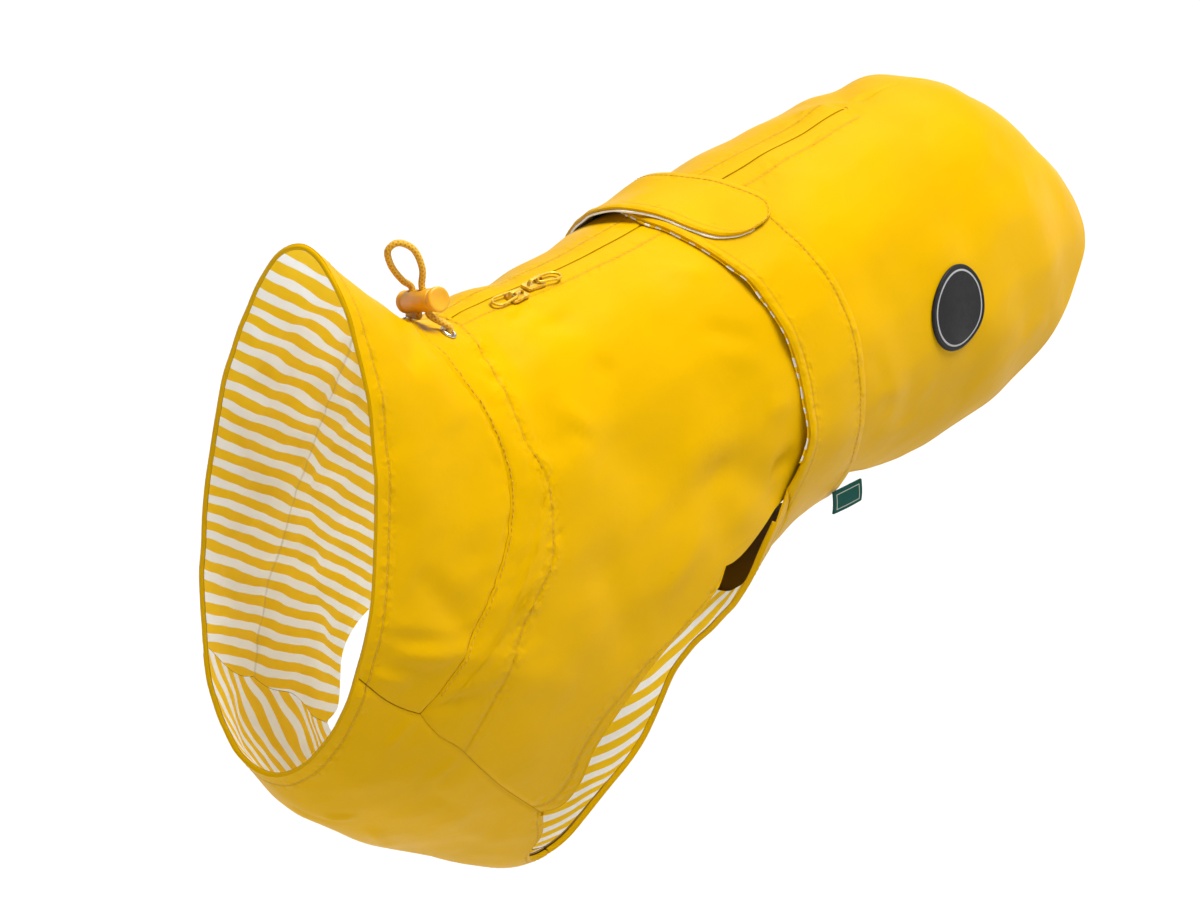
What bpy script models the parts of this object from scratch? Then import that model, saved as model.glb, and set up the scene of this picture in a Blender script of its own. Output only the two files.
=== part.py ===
"""Dog raincoat, filled out as it is worn: a funnel collar, a zipped back panel, a chest and belly piece,
a belt of two wings that closes over the back, a drawcord with a cord lock, and its trims.

Every sewn piece lies on one shape, the coat's filled-out form. A place on it has a station (mm along the
back from the drawcord, towards the tail) and an angle (degrees round the body from the middle of the back,
positive on the dog's left). A piece is an outline in stations and angles, and a height off that form.

Frame: +X to the tail, +Y to the dog's right, +Z up. The origin is where the dog's back holds the coat: on
the inner face of the neck lining, in the middle of the back at HOLD_STATION.
"""
import math

import bmesh
import bpy
import numpy as np
from mathutils import Matrix, Vector

MM = 0.001

# ---------------------------------------------------------------- driving sizes, mm
CLOTH = 1.0                 # thickness of one layer of cloth
SEAM_GAP = 0.3              # between two pieces at a seam, and between a piece and what lies on it
LINING_DROP = 1.8           # from the coat's outer face down to the lining's outer face
ZIP_LINING_DROP = 3.3       # the same behind the drawcord, where the zip tape lies between them
TAPE_DROP = 1.85
FACING_GAP = 0.45           # between a wing and its striped facing
BELT_RISE = 2.5             # the belly piece lies this far off the form at its seam with the belt
WING_THICKNESS = 1.2
PATCH_DIAMETER = 43.5
PATCH_THICKNESS = 1.3
PATCH_PLACE = (286.0, 74.5)
EYELET_RADIUS = 3.9
EYELET_HOLE_RADIUS = 2.3
EYELETS = (("eyelet_left", -1.4, 10.2), ("eyelet_right", 1.8, -11.2))      # name, station and angle
CORD_DIAMETER = 3.0
RIM_STATION = -78.0
TUNNEL_FRONT_AT_SPINE = -14.0
REAR_HEM_STATION = 444.0
SLIT_HALF_ANGLE = 0.3       # the zip's slit, about 0.8 mm wide
SLIT_STATIONS = (14.0, 306.0)
TAPE_HALF_ANGLE = 8.0
CHEST_END = 72.0            # where the chest piece meets the belly piece
BELT_REAR = 222.0
HOLD_STATION = 40.0

# The coat's filled-out form: one closed curve round the body at each station. "widest" is how far down the
# curve is widest, "bow" moves its sides to the tail, "egg" makes it wider above than below, "keel" lifts the
# middle of the belly, and "lean" moves its top to the dog's right.
SECTION_COLUMNS = ("station", "top_x", "top_z", "bottom_x", "bottom_z", "half_width", "widest", "bow", "egg",
                   "keel", "lean")
SECTIONS = (
    (-78, -65, 58, -116, -171, 51.5, 0.565, 4, 0.00, 0, 5),     # rim of the collar
    (-36, -34, 25, -92, -207, 59.0, 0.51, 3, 0.00, 0, 2),       # collar
    (0, 0, 0, -56, -240, 66.0, 0.46, 2, 0.00, 0, 0),            # drawcord
    (25, 25, 0, -20, -266, 71.0, 0.46, 0, 0.00, 0, 0),          # behind the drawcord
    (70, 70, -2, 38, -300, 76.0, 0.50, 0, 0.05, 0, 0),          # shoulders
    (115, 115, -2, 105, -276, 79.0, 0.54, 0, 0.12, 8, 0),       # chest
    (160, 160, 0, 152, -218, 78.0, 0.56, 0, 0.20, 17, 0),       # belt, front edge
    (210, 210, 4, 210, -188, 80.0, 0.57, 0, 0.18, 8, 0),        # belt, rear edge
    (260, 260, 7, 272, -186, 83.0, 0.56, 0, 0.08, 0, 0),        # loin
    (312, 312, 10, 335, -188, 85.0, 0.54, 0, 0.00, 0, 0),       # hips
    (366, 366, 8, 392, -190, 83.0, 0.52, 0, 0.00, 0, 0),        # rump
    (408, 408, -11, 430, -195, 76.5, 0.50, 0, 0.00, 0, 0),
    (444, 437, -34, 459, -200, 70.0, 0.50, 0, 0.00, 0, 0),      # rear hem
)

DRAWN_FORWARD = 34.0        # mm that the cloth is drawn forwards on the right, in front of the leg hole
DRAWN_DOWN = 12.5           # degrees that the chest seam is turned down on the right, at the rim

# Soft folds that every layer follows: a straight ridge (or, below 0, a trough) between two places.
FOLD_COLUMNS = ("station_1", "angle_1", "station_2", "angle_2", "width", "height")
FOLDS = (
    (20, 20, 27, 52, 9, -2.2),         # trough behind the drawcord, left
    (22, -18, 30, -46, 9, -2.0),       # and right
    (49, 12, 60, 20, 7, -1.8),         # dimple beside the zip
    (60, -12, 72, -22, 8, -1.4),
    (-62, 97, 30, 103, 9, 1.8),        # ridge above the chest seam
    (-58, -94, 22, -100, 9, 1.6),
    (-44, 84, -18, 95, 7, -1.6),
    (118, 66, 152, 84, 11, -3.0),      # dent above the leg hole
    (120, -62, 150, -80, 11, -2.6),
    (320, -8, 352, -30, 12, -2.0),     # hollow behind the zip's end
    (235, 60, 250, 100, 14, -1.8),     # behind the belt
    (238, -58, 252, -98, 14, -1.8),
    (-40, 150, 10, 168, 12, -1.4),     # across the chest
    (-30, -148, 15, -160, 12, -1.2),
)

# Seam and edge lines, as (station, angle) from the back downwards or from front to rear, left half.
NECK_SEAM = ((TUNNEL_FRONT_AT_SPINE, 0), (-18, 16), (-14, 30), (-7, 42), (-2, 57), (-3, 69), (-9, 82),
             (-16, 93), (-23, 104), (-31, 114))
CHEST_SEAM = ((-78, 111.5), (-52, 113.5), (-31, 114), (-20, 118), (-6, 121), (6, 125), (25, 131), (44, 134))
LEG_FRONT = ((44, 134), (52, 130.5), (56, 124), (57, 117), (63, 108), (71, 102), (83, 96), (97, 93),
             (112, 89.5))
SIDE_HEM = ((112, 89.5), (119, 85), (128, 86), (145, 91), (163, 93), (182, 98), (200, 107), (220, 116),
            (245, 124), (267, 128), (290, 127), (312, 125), (336, 120), (362, 112), (388, 100.5), (419, 83),
            (436, 72), (444, 58))
BODY_STATIONS = (-14, -7, 0, 7, 15, 25, 37, 52, 69, 88, 108, 130, 152, 174, 196, 219, 242, 265, 288, 310,
                 331, 351, 370, 388, 404, 419, 432, 444)      # the back panel's rows, along the back
CHEST_LEG_EDGE = ((44, 134), (51, 141), (53, 149), (60, 155), (72, 157))
BELLY_EDGE = ((72, 157), (92, 154), (116, 150), (130, 148.5), (137, 146), (142, 141), (145, 134), (147, 127),
              (147.5, 119), (148, 111), (149.5, 103), (155, 96), (163, 90))
BELLY_REAR = ((BELT_REAR, 180), (BELT_REAR, 160), (BELT_REAR, 142), (221, 130))
BELT_SEAM = ((221, 130), (206, 128.5), (190, 125), (174, 119), (165, 110), (166, 101), (166, 95), (163, 90))

# The belt wings from the belly seam to the free end. Heights are the underside's, off the coat's outer face.
WING_COLUMNS = ("front_station", "front_angle", "rear_station", "rear_angle", "front_height", "rear_height")
WING_LEFT = (
    (168.0, 84, 218, 107, 3.6, 1.7),
    (171.5, 77, 215, 92, 4.2, 1.7),
    (171.0, 67, 213, 76, 1.8, 1.7),
    (170.0, 58, 212, 60, 1.9, 1.7),
    (167.5, 50, 210, 50, 3.1, 1.7),
    (164.5, 42, 207, 42, 1.8, 1.7),
    (161.0, 33.5, 204, 33, 3.2, 1.7),
    (156.0, 24, 201, 24, 1.8, 1.7),
    (150.0, 13, 199, 14, 1.8, 1.8),
    (145.0, 3, 197, 3, 1.8, 1.8),
    (148.0, -6, 196, -6, 1.8, 1.8),
    (155.0, -13, 190, -13, 1.8, 1.8),
)
WING_RIGHT = (
    (168.0, -84, 218, -107, 2.6, 1.7),
    (171.5, -77, 215, -92, 2.2, 1.7),
    (171.0, -67, 213, -76, 1.8, 1.7),
    (170.0, -58, 211, -60, 2.8, 1.7),
    (166.0, -48, 206, -48, 1.8, 1.7),
    (160.0, -38, 201, -38, 1.8, 1.8),
    (153.0, -28, 196, -28, 2.8, 2.4),
    (146.5, -19, 191, -19, 5.0, 4.6),
    (143.5, -10, 190, -10, 6.2, 4.8),
    (146.0, -1, 194, 0, 5.8, 4.8),
    (150.5, 7, 198.5, 8, 5.0, 4.7),
    (156.0, 13.5, 202, 14, 4.9, 4.7),
    (163.0, 18.5, 202.5, 18.5, 4.8, 4.7),
    (172.0, 21.5, 196, 21.7, 4.7, 4.7),
)
FACING_PEEK = 1.1           # how far the striped edge shows in front of a wing
FACING_WIDTH = 13.0

# Cord lock: its barrel's axis, centre and sizes. The cord's holes run along LOCK_HOLE_AXIS.
LOCK_AXIS = Vector((-0.137, -0.919, 0.370)).normalized()
LOCK_CENTRE = Vector((-4.6, 1.0, 13.3))
LOCK_RADIUS = 5.0
LOCK_HALF_LENGTH = 11.2
LOCK_BORE_RADIUS = 3.5
LOCK_HOLE_RADIUS = 1.95
LOCK_HOLE_PLACES = (-3.0, 5.0)
BUTTON_RADIUS = 5.5
BUTTON_HEAD = 2.8
BUTTON_TRAVEL = 1.2
BUTTON_GAP = 1.5
STEM_RADIUS = 3.1
STEM_END = -7.6

# The drawcord above the lock's holes and below them to the eyelets, chosen by hand, mm.
LOOP_POINTS = ((-8.4, 6.6, 22.5), (-13.6, 8.3, 31.2), (-14.4, 8.8, 38.0), (-11.2, 6.2, 41.0), (-6.3, 2.0, 37.9),
               (-4.0, -1.0, 28.5))
SLIDER_COLUMNS = ("name", "station", "angle", "pull_direction", "pull_yaw")
SLIDERS = (("front", 49.0, 5.5, -1, 2.0), ("rear", 62.5, 3.5, 1, 8.0))     # on the left of the slit
SLIDER_THICKNESS = 1.5
PULL_LENGTH = 13.5
PULL_WIRE_RADIUS = 0.62
PULL_TILT = 3.0             # the pulls lie against their sliders' ends
EYE_OFFSET = 2.2            # of the pull's pin from the middle of its slider
EYE_HEIGHT = 2.6
LABEL_TOP = ((213.0, 119.5, 3.4), (232.5, 121.5, 3.4))      # station, angle and height of its two upper corners
LABEL_HEIGHT = 12.0

YELLOW = (0.93, 0.55, 0.01)
STRIPE = (0.86, 0.76, 0.42)
TRIM_YELLOW = (0.72, 0.36, 0.01)


# ---------------------------------------------------------------- the form
SECTION_TABLE = np.array(SECTIONS, float)
KNOTS = SECTION_TABLE[:, 0]
VALUES = SECTION_TABLE[:, 1:]
SLOPES = np.gradient(VALUES, KNOTS, axis=0)


def section_at(station):
    """The form's section values at each station, by cubic interpolation between the table's rows."""
    station = np.clip(station, KNOTS[0], KNOTS[-1])
    low = np.clip(np.searchsorted(KNOTS, station, side="right") - 1, 0, len(KNOTS) - 2)
    span = (KNOTS[low + 1] - KNOTS[low])[..., None]
    t = (station - KNOTS[low])[..., None] / span
    start, end = VALUES[low], VALUES[low + 1]
    start_slope, end_slope = SLOPES[low] * span, SLOPES[low + 1] * span
    return ((2 * t**3 - 3 * t**2 + 1) * start + (t**3 - 2 * t**2 + t) * start_slope
            + (3 * t**2 - 2 * t**3) * end + (t**3 - t**2) * end_slope)


def smooth_step(value, low, high):
    t = np.clip((value - low) / (high - low), 0, 1)
    return t * t * (3 - 2 * t)


def drawn_place(station, angle):
    """Where a place on the cloth lies on the form: on the right, it is drawn forwards round the leg hole."""
    right = (-angle) % 360      # degrees round from the middle of the back, on the dog's right
    beside_hole = smooth_step(right, 80, 126) * (1 - smooth_step(right, 136, 178))
    beside_seam = smooth_step(right, 40, 112) * (1 - smooth_step(right, 112, 180))
    forward = DRAWN_FORWARD * beside_hole * smooth_step(station, -12, 50) * (1 - smooth_step(station, 58, 125))
    down = DRAWN_DOWN * beside_seam * (1 - 0.9 * smooth_step(station, -50, 50)) * (1 - smooth_step(station, 58, 125))
    return station - forward, angle - down


def form_point(station, angle):
    """Points of the form, mm, for stations and angles in degrees."""
    station, angle = drawn_place(station, angle)
    turn = np.radians(angle)
    values = np.moveaxis(section_at(station), -1, 0)
    top_x, top_z, bottom_x, bottom_z, half_width, widest, bow, egg, keel, lean = values
    lower = (1 - np.cos(turn)) / 2
    down = lower + (widest - 0.5) * np.sin(turn) ** 2
    x = top_x + (bottom_x - top_x) * down + bow * np.sin(turn) ** 2
    y = lean * (1 - lower) ** 2 - half_width * np.sin(turn) * (1 + egg * np.cos(turn))
    z = top_z + (bottom_z - top_z) * down + keel * lower**4
    return np.stack([x, y, z], -1)


def form_tangents(station, angle):
    """The form's two derivatives: per mm of station, and per degree of angle."""
    before = np.maximum(station - 0.1, KNOTS[0])
    after = np.minimum(station + 0.1, KNOTS[-1])
    along = (form_point(after, angle) - form_point(before, angle)) / (after - before)[..., None]
    around = (form_point(station, angle + 0.05) - form_point(station, angle - 0.05)) / 0.1
    return along, around


def fold_height(station, angle):
    """How far the folds lift the cloth off the form."""
    places = form_point(station, angle)
    height = np.zeros(places.shape[:-1])
    for station_1, angle_1, station_2, angle_2, width, rise in FOLDS:
        start = form_point(np.array(float(station_1)), np.array(float(angle_1)))
        line = form_point(np.array(float(station_2)), np.array(float(angle_2))) - start
        along = np.clip(((places - start) @ line) / (line @ line), 0, 1)
        distance = np.linalg.norm(places - start - along[..., None] * line, axis=-1)
        height += rise * np.exp(-(distance / width) ** 2)
    return height


def cloth_point(station, angle, height=0.0):
    """Points at a height off the coat's outer face, mm."""
    station, angle, height = np.broadcast_arrays(*(np.asarray(v, float) for v in (station, angle, height)))
    along, around = form_tangents(station, angle)
    normal = np.cross(around, along)
    normal /= np.linalg.norm(normal, axis=-1, keepdims=True)
    return form_point(station, angle) + normal * (height + fold_height(station, angle))[..., None]


ORIGIN = cloth_point(HOLD_STATION, 0.0, -ZIP_LINING_DROP - CLOTH)


# ---------------------------------------------------------------- outlines
def resample(points, fractions):
    """Points along an outline at fractions of its length, with a degree counted as 1.3 mm."""
    points = np.array(points, float)
    steps = np.diff(points, axis=0) * (1.0, 1.3)
    lengths = np.r_[0, np.cumsum(np.hypot(*steps.T))]
    return np.stack([np.interp(np.asarray(fractions) * lengths[-1], lengths, points[:, i]) for i in (0, 1)], -1)


def evenly(points, count):
    return resample(points, np.linspace(0, 1, count + 1))


def join(*lines):
    """One outline out of several that meet end to end."""
    return np.concatenate([lines[0]] + [line[1:] for line in lines[1:]])


def patch_grid(near_edge, far_edge, front_edge, rear_edge):
    """A grid of places between four edges. The near and far edges run from front to rear."""
    rows, columns = len(near_edge), len(front_edge)
    a = np.linspace(0, 1, rows)[:, None, None]
    b = np.linspace(0, 1, columns)[None, :, None]
    between = (1 - b) * near_edge[:, None] + b * far_edge[:, None]
    across = (1 - a) * front_edge[None] + a * rear_edge[None]
    corners = ((1 - a) * ((1 - b) * front_edge[0] + b * front_edge[-1])
               + a * ((1 - b) * rear_edge[0] + b * rear_edge[-1]))
    return between + across - corners


def mirrored(half):
    """A half grid whose first column is near the middle line, with its mirror image in front of it."""
    other = half[:, ::-1] * (1, -1)
    return np.concatenate([other, half], axis=1)


def mirrored_round_below(half):
    """The same for a half grid whose first column lies on the middle of the belly, at 180 degrees."""
    other = half[:, ::-1] * (1, -1) + (0, 360)
    return np.concatenate([half[:, ::-1], other[:, ::-1][:, 1:]], axis=1)


# ---------------------------------------------------------------- solids
def material(name, colour, roughness, metallic=0.0):
    made = bpy.data.materials.get(name)
    if made is None:
        made = bpy.data.materials.new(name)
        made.use_nodes = True
        surface = made.node_tree.nodes["Principled BSDF"]
        surface.inputs["Base Color"].default_value = (*colour, 1)
        surface.inputs["Roughness"].default_value = roughness
        surface.inputs["Metallic"].default_value = metallic
    return made


def add_object(name, mesh, look, location=(0, 0, 0)):
    mesh.materials.append(material(*look))
    made = bpy.data.objects.new(name, mesh)
    made.location = location
    bpy.context.scene.collection.objects.link(made)
    return made


def closed_mesh(name, points, faces):
    """A mesh with its faces turned outwards, in metres."""
    work = bmesh.new()
    corners = [work.verts.new(Vector(point) * MM) for point in points]
    for face in faces:
        work.faces.new([corners[i] for i in face])
    bmesh.ops.recalc_face_normals(work, faces=work.faces)
    if work.calc_volume(signed=True) < 0:
        bmesh.ops.reverse_faces(work, faces=work.faces)
    mesh = bpy.data.meshes.new(name)
    work.to_mesh(mesh)
    work.free()
    mesh.shade_smooth()
    mesh.set_sharp_from_angle(angle=math.radians(40))
    return mesh


def sheet(name, grid, outer, inner, look, keep=None):
    """A closed sheet of cloth: a grid of places at two heights, joined round its border.

    keep marks the grid cells that have cloth, so that a slit can be left out."""
    rows, columns = grid.shape[:2]
    if keep is None:
        keep = np.ones((rows - 1, columns - 1), bool)
    top = cloth_point(grid[..., 0], grid[..., 1], outer) - ORIGIN
    bottom = cloth_point(grid[..., 0], grid[..., 1], inner) - ORIGIN
    count = rows * columns
    faces = []
    border = {}
    for row, column in zip(*np.nonzero(keep)):
        first = row * columns + column
        cell = (first, first + 1, first + columns + 1, first + columns)
        faces.append(cell)
        faces.append(tuple(i + count for i in reversed(cell)))
        for start, end in zip(cell, cell[1:] + cell[:1]):
            if border.pop((end, start), None) is None:
                border[(start, end)] = True
    faces += [(end, start, start + count, end + count) for start, end in border]
    points = np.concatenate([top.reshape(-1, 3), bottom.reshape(-1, 3)])
    used = sorted({i for face in faces for i in face})
    renumber = {old: new for new, old in enumerate(used)}
    faces = [tuple(renumber[i] for i in face) for face in faces]
    return add_object(name, closed_mesh(name, points[used], faces), look)


def place_on_cloth(station, angle, along_mm, around_mm, height):
    """Points near a place, at distances along the back and down the side, off the coat's outer face."""
    along, around = form_tangents(np.array(float(station)), np.array(float(angle)))
    first = along / np.linalg.norm(along)
    second = around - first * (around @ first)
    second /= np.linalg.norm(second)
    metric = np.array([[along @ first, around @ first], [along @ second, around @ second]])
    steps = np.linalg.solve(metric, np.stack([np.ravel(along_mm), np.ravel(around_mm)]))
    shape = np.shape(along_mm)
    return cloth_point(station + steps[0].reshape(shape), angle + steps[1].reshape(shape), height) - ORIGIN


def turned_on_cloth(name, station, angle, profile, segments, look):
    """A round trim on the cloth: a closed profile of (radius, height), or one that starts and ends at 0."""
    turn = np.linspace(0, 2 * math.pi, segments, endpoint=False)
    rings = [place_on_cloth(station, angle, r * np.cos(turn), r * np.sin(turn), h) for r, h in profile if r > 0]
    tips = [place_on_cloth(station, angle, np.zeros(1), np.zeros(1), h) for r, h in profile if r == 0]
    points = np.concatenate(rings + tips)
    count = len(rings)
    last = count - 1 if tips else count
    faces = [(i * segments + k, i * segments + (k + 1) % segments,
              (i + 1) % count * segments + (k + 1) % segments, (i + 1) % count * segments + k)
             for i in range(last) for k in range(segments)]
    for tip, ring in zip(range(len(tips)), (0, count - 1)):
        middle = count * segments + tip
        faces += [(middle, ring * segments + k, ring * segments + (k + 1) % segments) for k in range(segments)]
    return add_object(name, closed_mesh(name, points, faces), look)


def turned(name, profile, segments, look, frame):
    """A solid turned about its own Z axis from a closed profile of (radius, height), placed by a matrix."""
    work = bmesh.new()
    corners = [work.verts.new((radius * MM, 0, height * MM)) for radius, height in profile]
    edges = [work.edges.new(pair) for pair in zip(corners, corners[1:])]
    bmesh.ops.spin(work, geom=corners + edges, cent=(0, 0, 0), axis=(0, 0, 1), angle=2 * math.pi,
                   steps=segments, use_merge=True)
    bmesh.ops.remove_doubles(work, verts=work.verts, dist=1e-6)
    bmesh.ops.recalc_face_normals(work, faces=work.faces)
    mesh = bpy.data.meshes.new(name)
    work.to_mesh(mesh)
    work.free()
    mesh.shade_smooth()
    mesh.set_sharp_from_angle(angle=math.radians(40))
    made = add_object(name, mesh, look)
    made.matrix_world = frame
    return made


def box_mesh(name, low, high):
    corners = [(x, y, z) for x in (low[0], high[0]) for y in (low[1], high[1]) for z in (low[2], high[2])]
    faces = [(0, 1, 3, 2), (4, 6, 7, 5), (0, 4, 5, 1), (2, 3, 7, 6), (0, 2, 6, 4), (1, 5, 7, 3)]
    return closed_mesh(name, corners, faces)


def combine(target, tool, operation):
    """A Boolean that stays on its target. Its tool is left out of the part."""
    tool.hide_render = True
    tool.display_type = "WIRE"
    made = target.modifiers.new(operation.title(), "BOOLEAN")
    made.operation = operation
    made.solver = "EXACT"
    made.object = tool


def frame_of(origin, z_axis, x_axis):
    """A matrix, in metres, that places a piece at a point in mm with two of its axes."""
    z_axis = Vector(z_axis).normalized()
    x_axis = (Vector(x_axis) - z_axis * z_axis.dot(Vector(x_axis))).normalized()
    made = Matrix((x_axis, z_axis.cross(x_axis), z_axis)).transposed().to_4x4()
    made.translation = Vector(origin) * MM
    return made


# ---------------------------------------------------------------- looks
SHELL = ("waterproof_shell", YELLOW, 0.55)
LINING = ("striped_lining", STRIPE, 0.85)
RUBBER = ("black_rubber", (0.02, 0.02, 0.02), 0.6)
WOVEN = ("green_label", (0.0, 0.07, 0.055), 0.8)
METAL = ("silver_metal", (0.72, 0.72, 0.72), 0.3, 1.0)
PAINTED = ("zip_yellow", TRIM_YELLOW, 0.45)
PLASTIC = ("lock_yellow", (0.80, 0.36, 0.02), 0.4)
ELASTIC = ("drawcord_yellow", (0.80, 0.40, 0.03), 0.8)


# ---------------------------------------------------------------- seams shared by neighbouring pieces
NECK_COLUMNS = 10           # of the collar and the back panel, from the back to the chest seam
COLLAR_ROWS = 6
SEAM_COLUMNS = 5            # of the back panel, along the chest seam
LEG_ROWS = 4
CHEST_COLUMNS = 7
WING_COLUMNS_ACROSS = 5

neck_line = evenly(NECK_SEAM, NECK_COLUMNS)
collar_seam = evenly(CHEST_SEAM[:3], COLLAR_ROWS)
body_seam = evenly(CHEST_SEAM[2:], SEAM_COLUMNS)
SEAM_SHIFT = (SEAM_GAP / 2, 0)
SEAM_TURN = (0, SEAM_GAP / 2 / 1.1)      # the same gap in degrees round the body


def make_collar():
    side = collar_seam - SEAM_TURN
    rear = neck_line - SEAM_SHIFT
    side[-1] = rear[-1] = (neck_line[-1][0] - SEAM_SHIFT[0], neck_line[-1][1] - SEAM_TURN[1])
    front = evenly(((RIM_STATION, 0), (RIM_STATION, side[0][1])), NECK_COLUMNS)
    middle = evenly(((RIM_STATION, 0), rear[0]), COLLAR_ROWS)
    half = patch_grid(middle, side, front, rear)
    grid = np.concatenate([half[:, :0:-1] * (1, -1), half], axis=1)
    sheet("collar", grid, 0, -CLOTH, SHELL)


def make_body():
    """The back panel in two halves that meet along the back, except where the zip's slit parts them."""
    front = join(neck_line + SEAM_SHIFT, body_seam - SEAM_TURN)
    front[0][1] = SLIT_HALF_ANGLE
    middle = np.array([(station, SLIT_HALF_ANGLE) for station in BODY_STATIONS])
    middle[0] = front[0]
    fractions = (np.array(BODY_STATIONS) - BODY_STATIONS[0]) / (BODY_STATIONS[-1] - BODY_STATIONS[0])
    side = resample(join(np.array(LEG_FRONT), np.array(SIDE_HEM)), fractions)
    side[0] = front[-1]
    rear = evenly((middle[-1], side[-1]), len(front) - 1)
    grid = mirrored(patch_grid(middle, side, front, rear))
    keep = np.ones((grid.shape[0] - 1, grid.shape[1] - 1), bool)
    centre = len(front) - 1
    row_stations = (middle[:-1, 0] + middle[1:, 0]) / 2
    keep[(row_stations > SLIT_STATIONS[0]) & (row_stations < SLIT_STATIONS[1]), centre] = False
    body = sheet("body", grid, 0, -CLOTH, SHELL, keep)
    profile = ((0, -4), (EYELET_HOLE_RADIUS, -4), (EYELET_HOLE_RADIUS, 4), (0, 4))
    for name, station, angle in EYELETS:
        along, around = form_tangents(np.array(station), np.array(angle))
        place = cloth_point(station, angle) - ORIGIN
        cutter = turned(f"{name}_cutter", profile, 12, METAL, frame_of(place, np.cross(around, along), along))
        combine(body, cutter, "DIFFERENCE")


def make_chest():
    """The chest piece, and its lining inside it, from the rim to the belly seam."""
    for name, outer, inset, look in (("chest_panel", 0, 0, SHELL), ("chest_lining", -LINING_DROP, 0.6, LINING)):
        leg_edge = evenly(CHEST_LEG_EDGE, LEG_ROWS) + (0, inset)
        seam = join(collar_seam, body_seam) + SEAM_TURN
        seam[0][0] += inset
        side = join(seam, leg_edge)
        side[-1][0] = CHEST_END - SEAM_GAP / 2
        front = evenly(((side[0][0], 180), side[0]), CHEST_COLUMNS)
        rear = evenly(((side[-1][0], 180), side[-1]), CHEST_COLUMNS)
        middle = evenly((front[0], rear[0]), len(side) - 1)
        half = patch_grid(middle, side, front, rear)
        sheet(name, mirrored_round_below(half), outer, outer - CLOTH, look)


def belly_rise(angle):
    """The belly piece leaves the form towards the belt, to lie outside the back panel's edge."""
    t = np.clip((150 - np.minimum(angle, 360 - angle)) / 30, 0, 1)
    return BELT_RISE * t * t * (3 - 2 * t)


def make_belly():
    """The strip between the forelegs, which widens into a gore on each side up to the belt's seam."""
    rows = 14
    side = evenly(BELLY_EDGE, rows)
    side[0][0] = CHEST_END + SEAM_GAP / 2
    rear = join(evenly(BELLY_REAR, 3), evenly(BELT_SEAM, WING_COLUMNS_ACROSS) + SEAM_TURN)
    side[-1] = rear[-1]
    front = evenly(((side[0][0], 180), side[0]), len(rear) - 1)
    middle = evenly((front[0], rear[0]), rows)
    panel = mirrored_round_below(patch_grid(middle, side, front, rear))
    height = belly_rise(panel[..., 1])
    sheet("belly_panel", panel, height, height - CLOTH, SHELL)

    lining_side = evenly(BELLY_EDGE[:10], 12) + (0.8, 0.8)
    lining_side[0][0] = CHEST_END + SEAM_GAP / 2
    end = lining_side[-1]
    lining_rear = evenly(((end[0] + 25, 180), end), 7)
    lining_front = evenly(((lining_side[0][0], 180), lining_side[0]), 7)
    lining_middle = evenly((lining_front[0], lining_rear[0]), 12)
    grid = mirrored_round_below(patch_grid(lining_middle, lining_side, lining_front, lining_rear))
    height = belly_rise(grid[..., 1]) - LINING_DROP - SEAM_GAP
    sheet("belly_lining", grid, height, height - CLOTH, LINING)


def wing_rows(table, steps):
    """The wing's table with smooth rows between its own."""
    table = np.array(table, float)
    slopes = np.gradient(table, axis=0)
    rows = [table[0]]
    for start, end, start_slope, end_slope in zip(table, table[1:], slopes, slopes[1:]):
        for t in np.arange(1, steps + 1) / steps:
            rows.append((2 * t**3 - 3 * t**2 + 1) * start + (t**3 - 2 * t**2 + t) * start_slope
                        + (3 * t**2 - 2 * t**3) * end + (t**3 - t**2) * end_slope)
    return np.array(rows)


def make_wing(name, table, side_sign):
    """A belt wing, and the striped facing whose edge shows in front of it."""
    rows = wing_rows(table, 2)
    across = np.linspace(0, 1, WING_COLUMNS_ACROSS + 1)[None, :, None]
    grid = (1 - across) * rows[:, None, 0:2] + across * rows[:, None, 2:4]
    height = (1 - across[..., 0]) * rows[:, 4:5] + across[..., 0] * rows[:, 5:6]
    seam = (evenly(BELT_SEAM, WING_COLUMNS_ACROSS)[::-1] - SEAM_TURN) * (1, side_sign)
    seam_height = np.full(len(seam), BELT_RISE - CLOTH)
    wing_grid = np.concatenate([[seam, (seam + grid[0]) / 2], grid])
    wing_height = np.concatenate([[seam_height, (seam_height + height[0]) / 2], height])
    sheet(name, wing_grid, wing_height + WING_THICKNESS, wing_height, SHELL)

    depth = np.array([-FACING_PEEK, FACING_WIDTH / 2, FACING_WIDTH])[None, :, None]
    width = (rows[:, 2:4] - rows[:, 0:2])[:, None]
    facing_grid = rows[:, None, 0:2] + width * depth / 45.0
    facing_height = rows[:, 4:5] - FACING_GAP + (rows[:, 5:6] - rows[:, 4:5]) * depth[..., 0] / 45.0
    sheet(f"{name}_facing", facing_grid, facing_height, facing_height - CLOTH, LINING)


def lining_height(station):
    """The neck lining drops behind the drawcord, where the zip tape comes between it and the shell."""
    t = np.clip((station + 34) / 34, 0, 1)
    return -LINING_DROP - (ZIP_LINING_DROP - LINING_DROP) * t * t * (3 - 2 * t)


def make_neck_lining():
    inset = 0.6
    seam = join(collar_seam, body_seam) - SEAM_TURN
    seam[0][0] += inset
    side = join(seam, evenly(LEG_FRONT, 6) - (0, inset))
    front = evenly(((side[0][0], 0), side[0]), NECK_COLUMNS)
    rear = evenly(((side[-1][0], 0), side[-1]), NECK_COLUMNS)
    middle = evenly((front[0], rear[0]), len(side) - 1)
    half = patch_grid(middle, side, front, rear)
    grid = np.concatenate([half[:, :0:-1] * (1, -1), half], axis=1)
    height = lining_height(grid[..., 0])
    sheet("neck_lining", grid, height, height - CLOTH, LINING)


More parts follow.
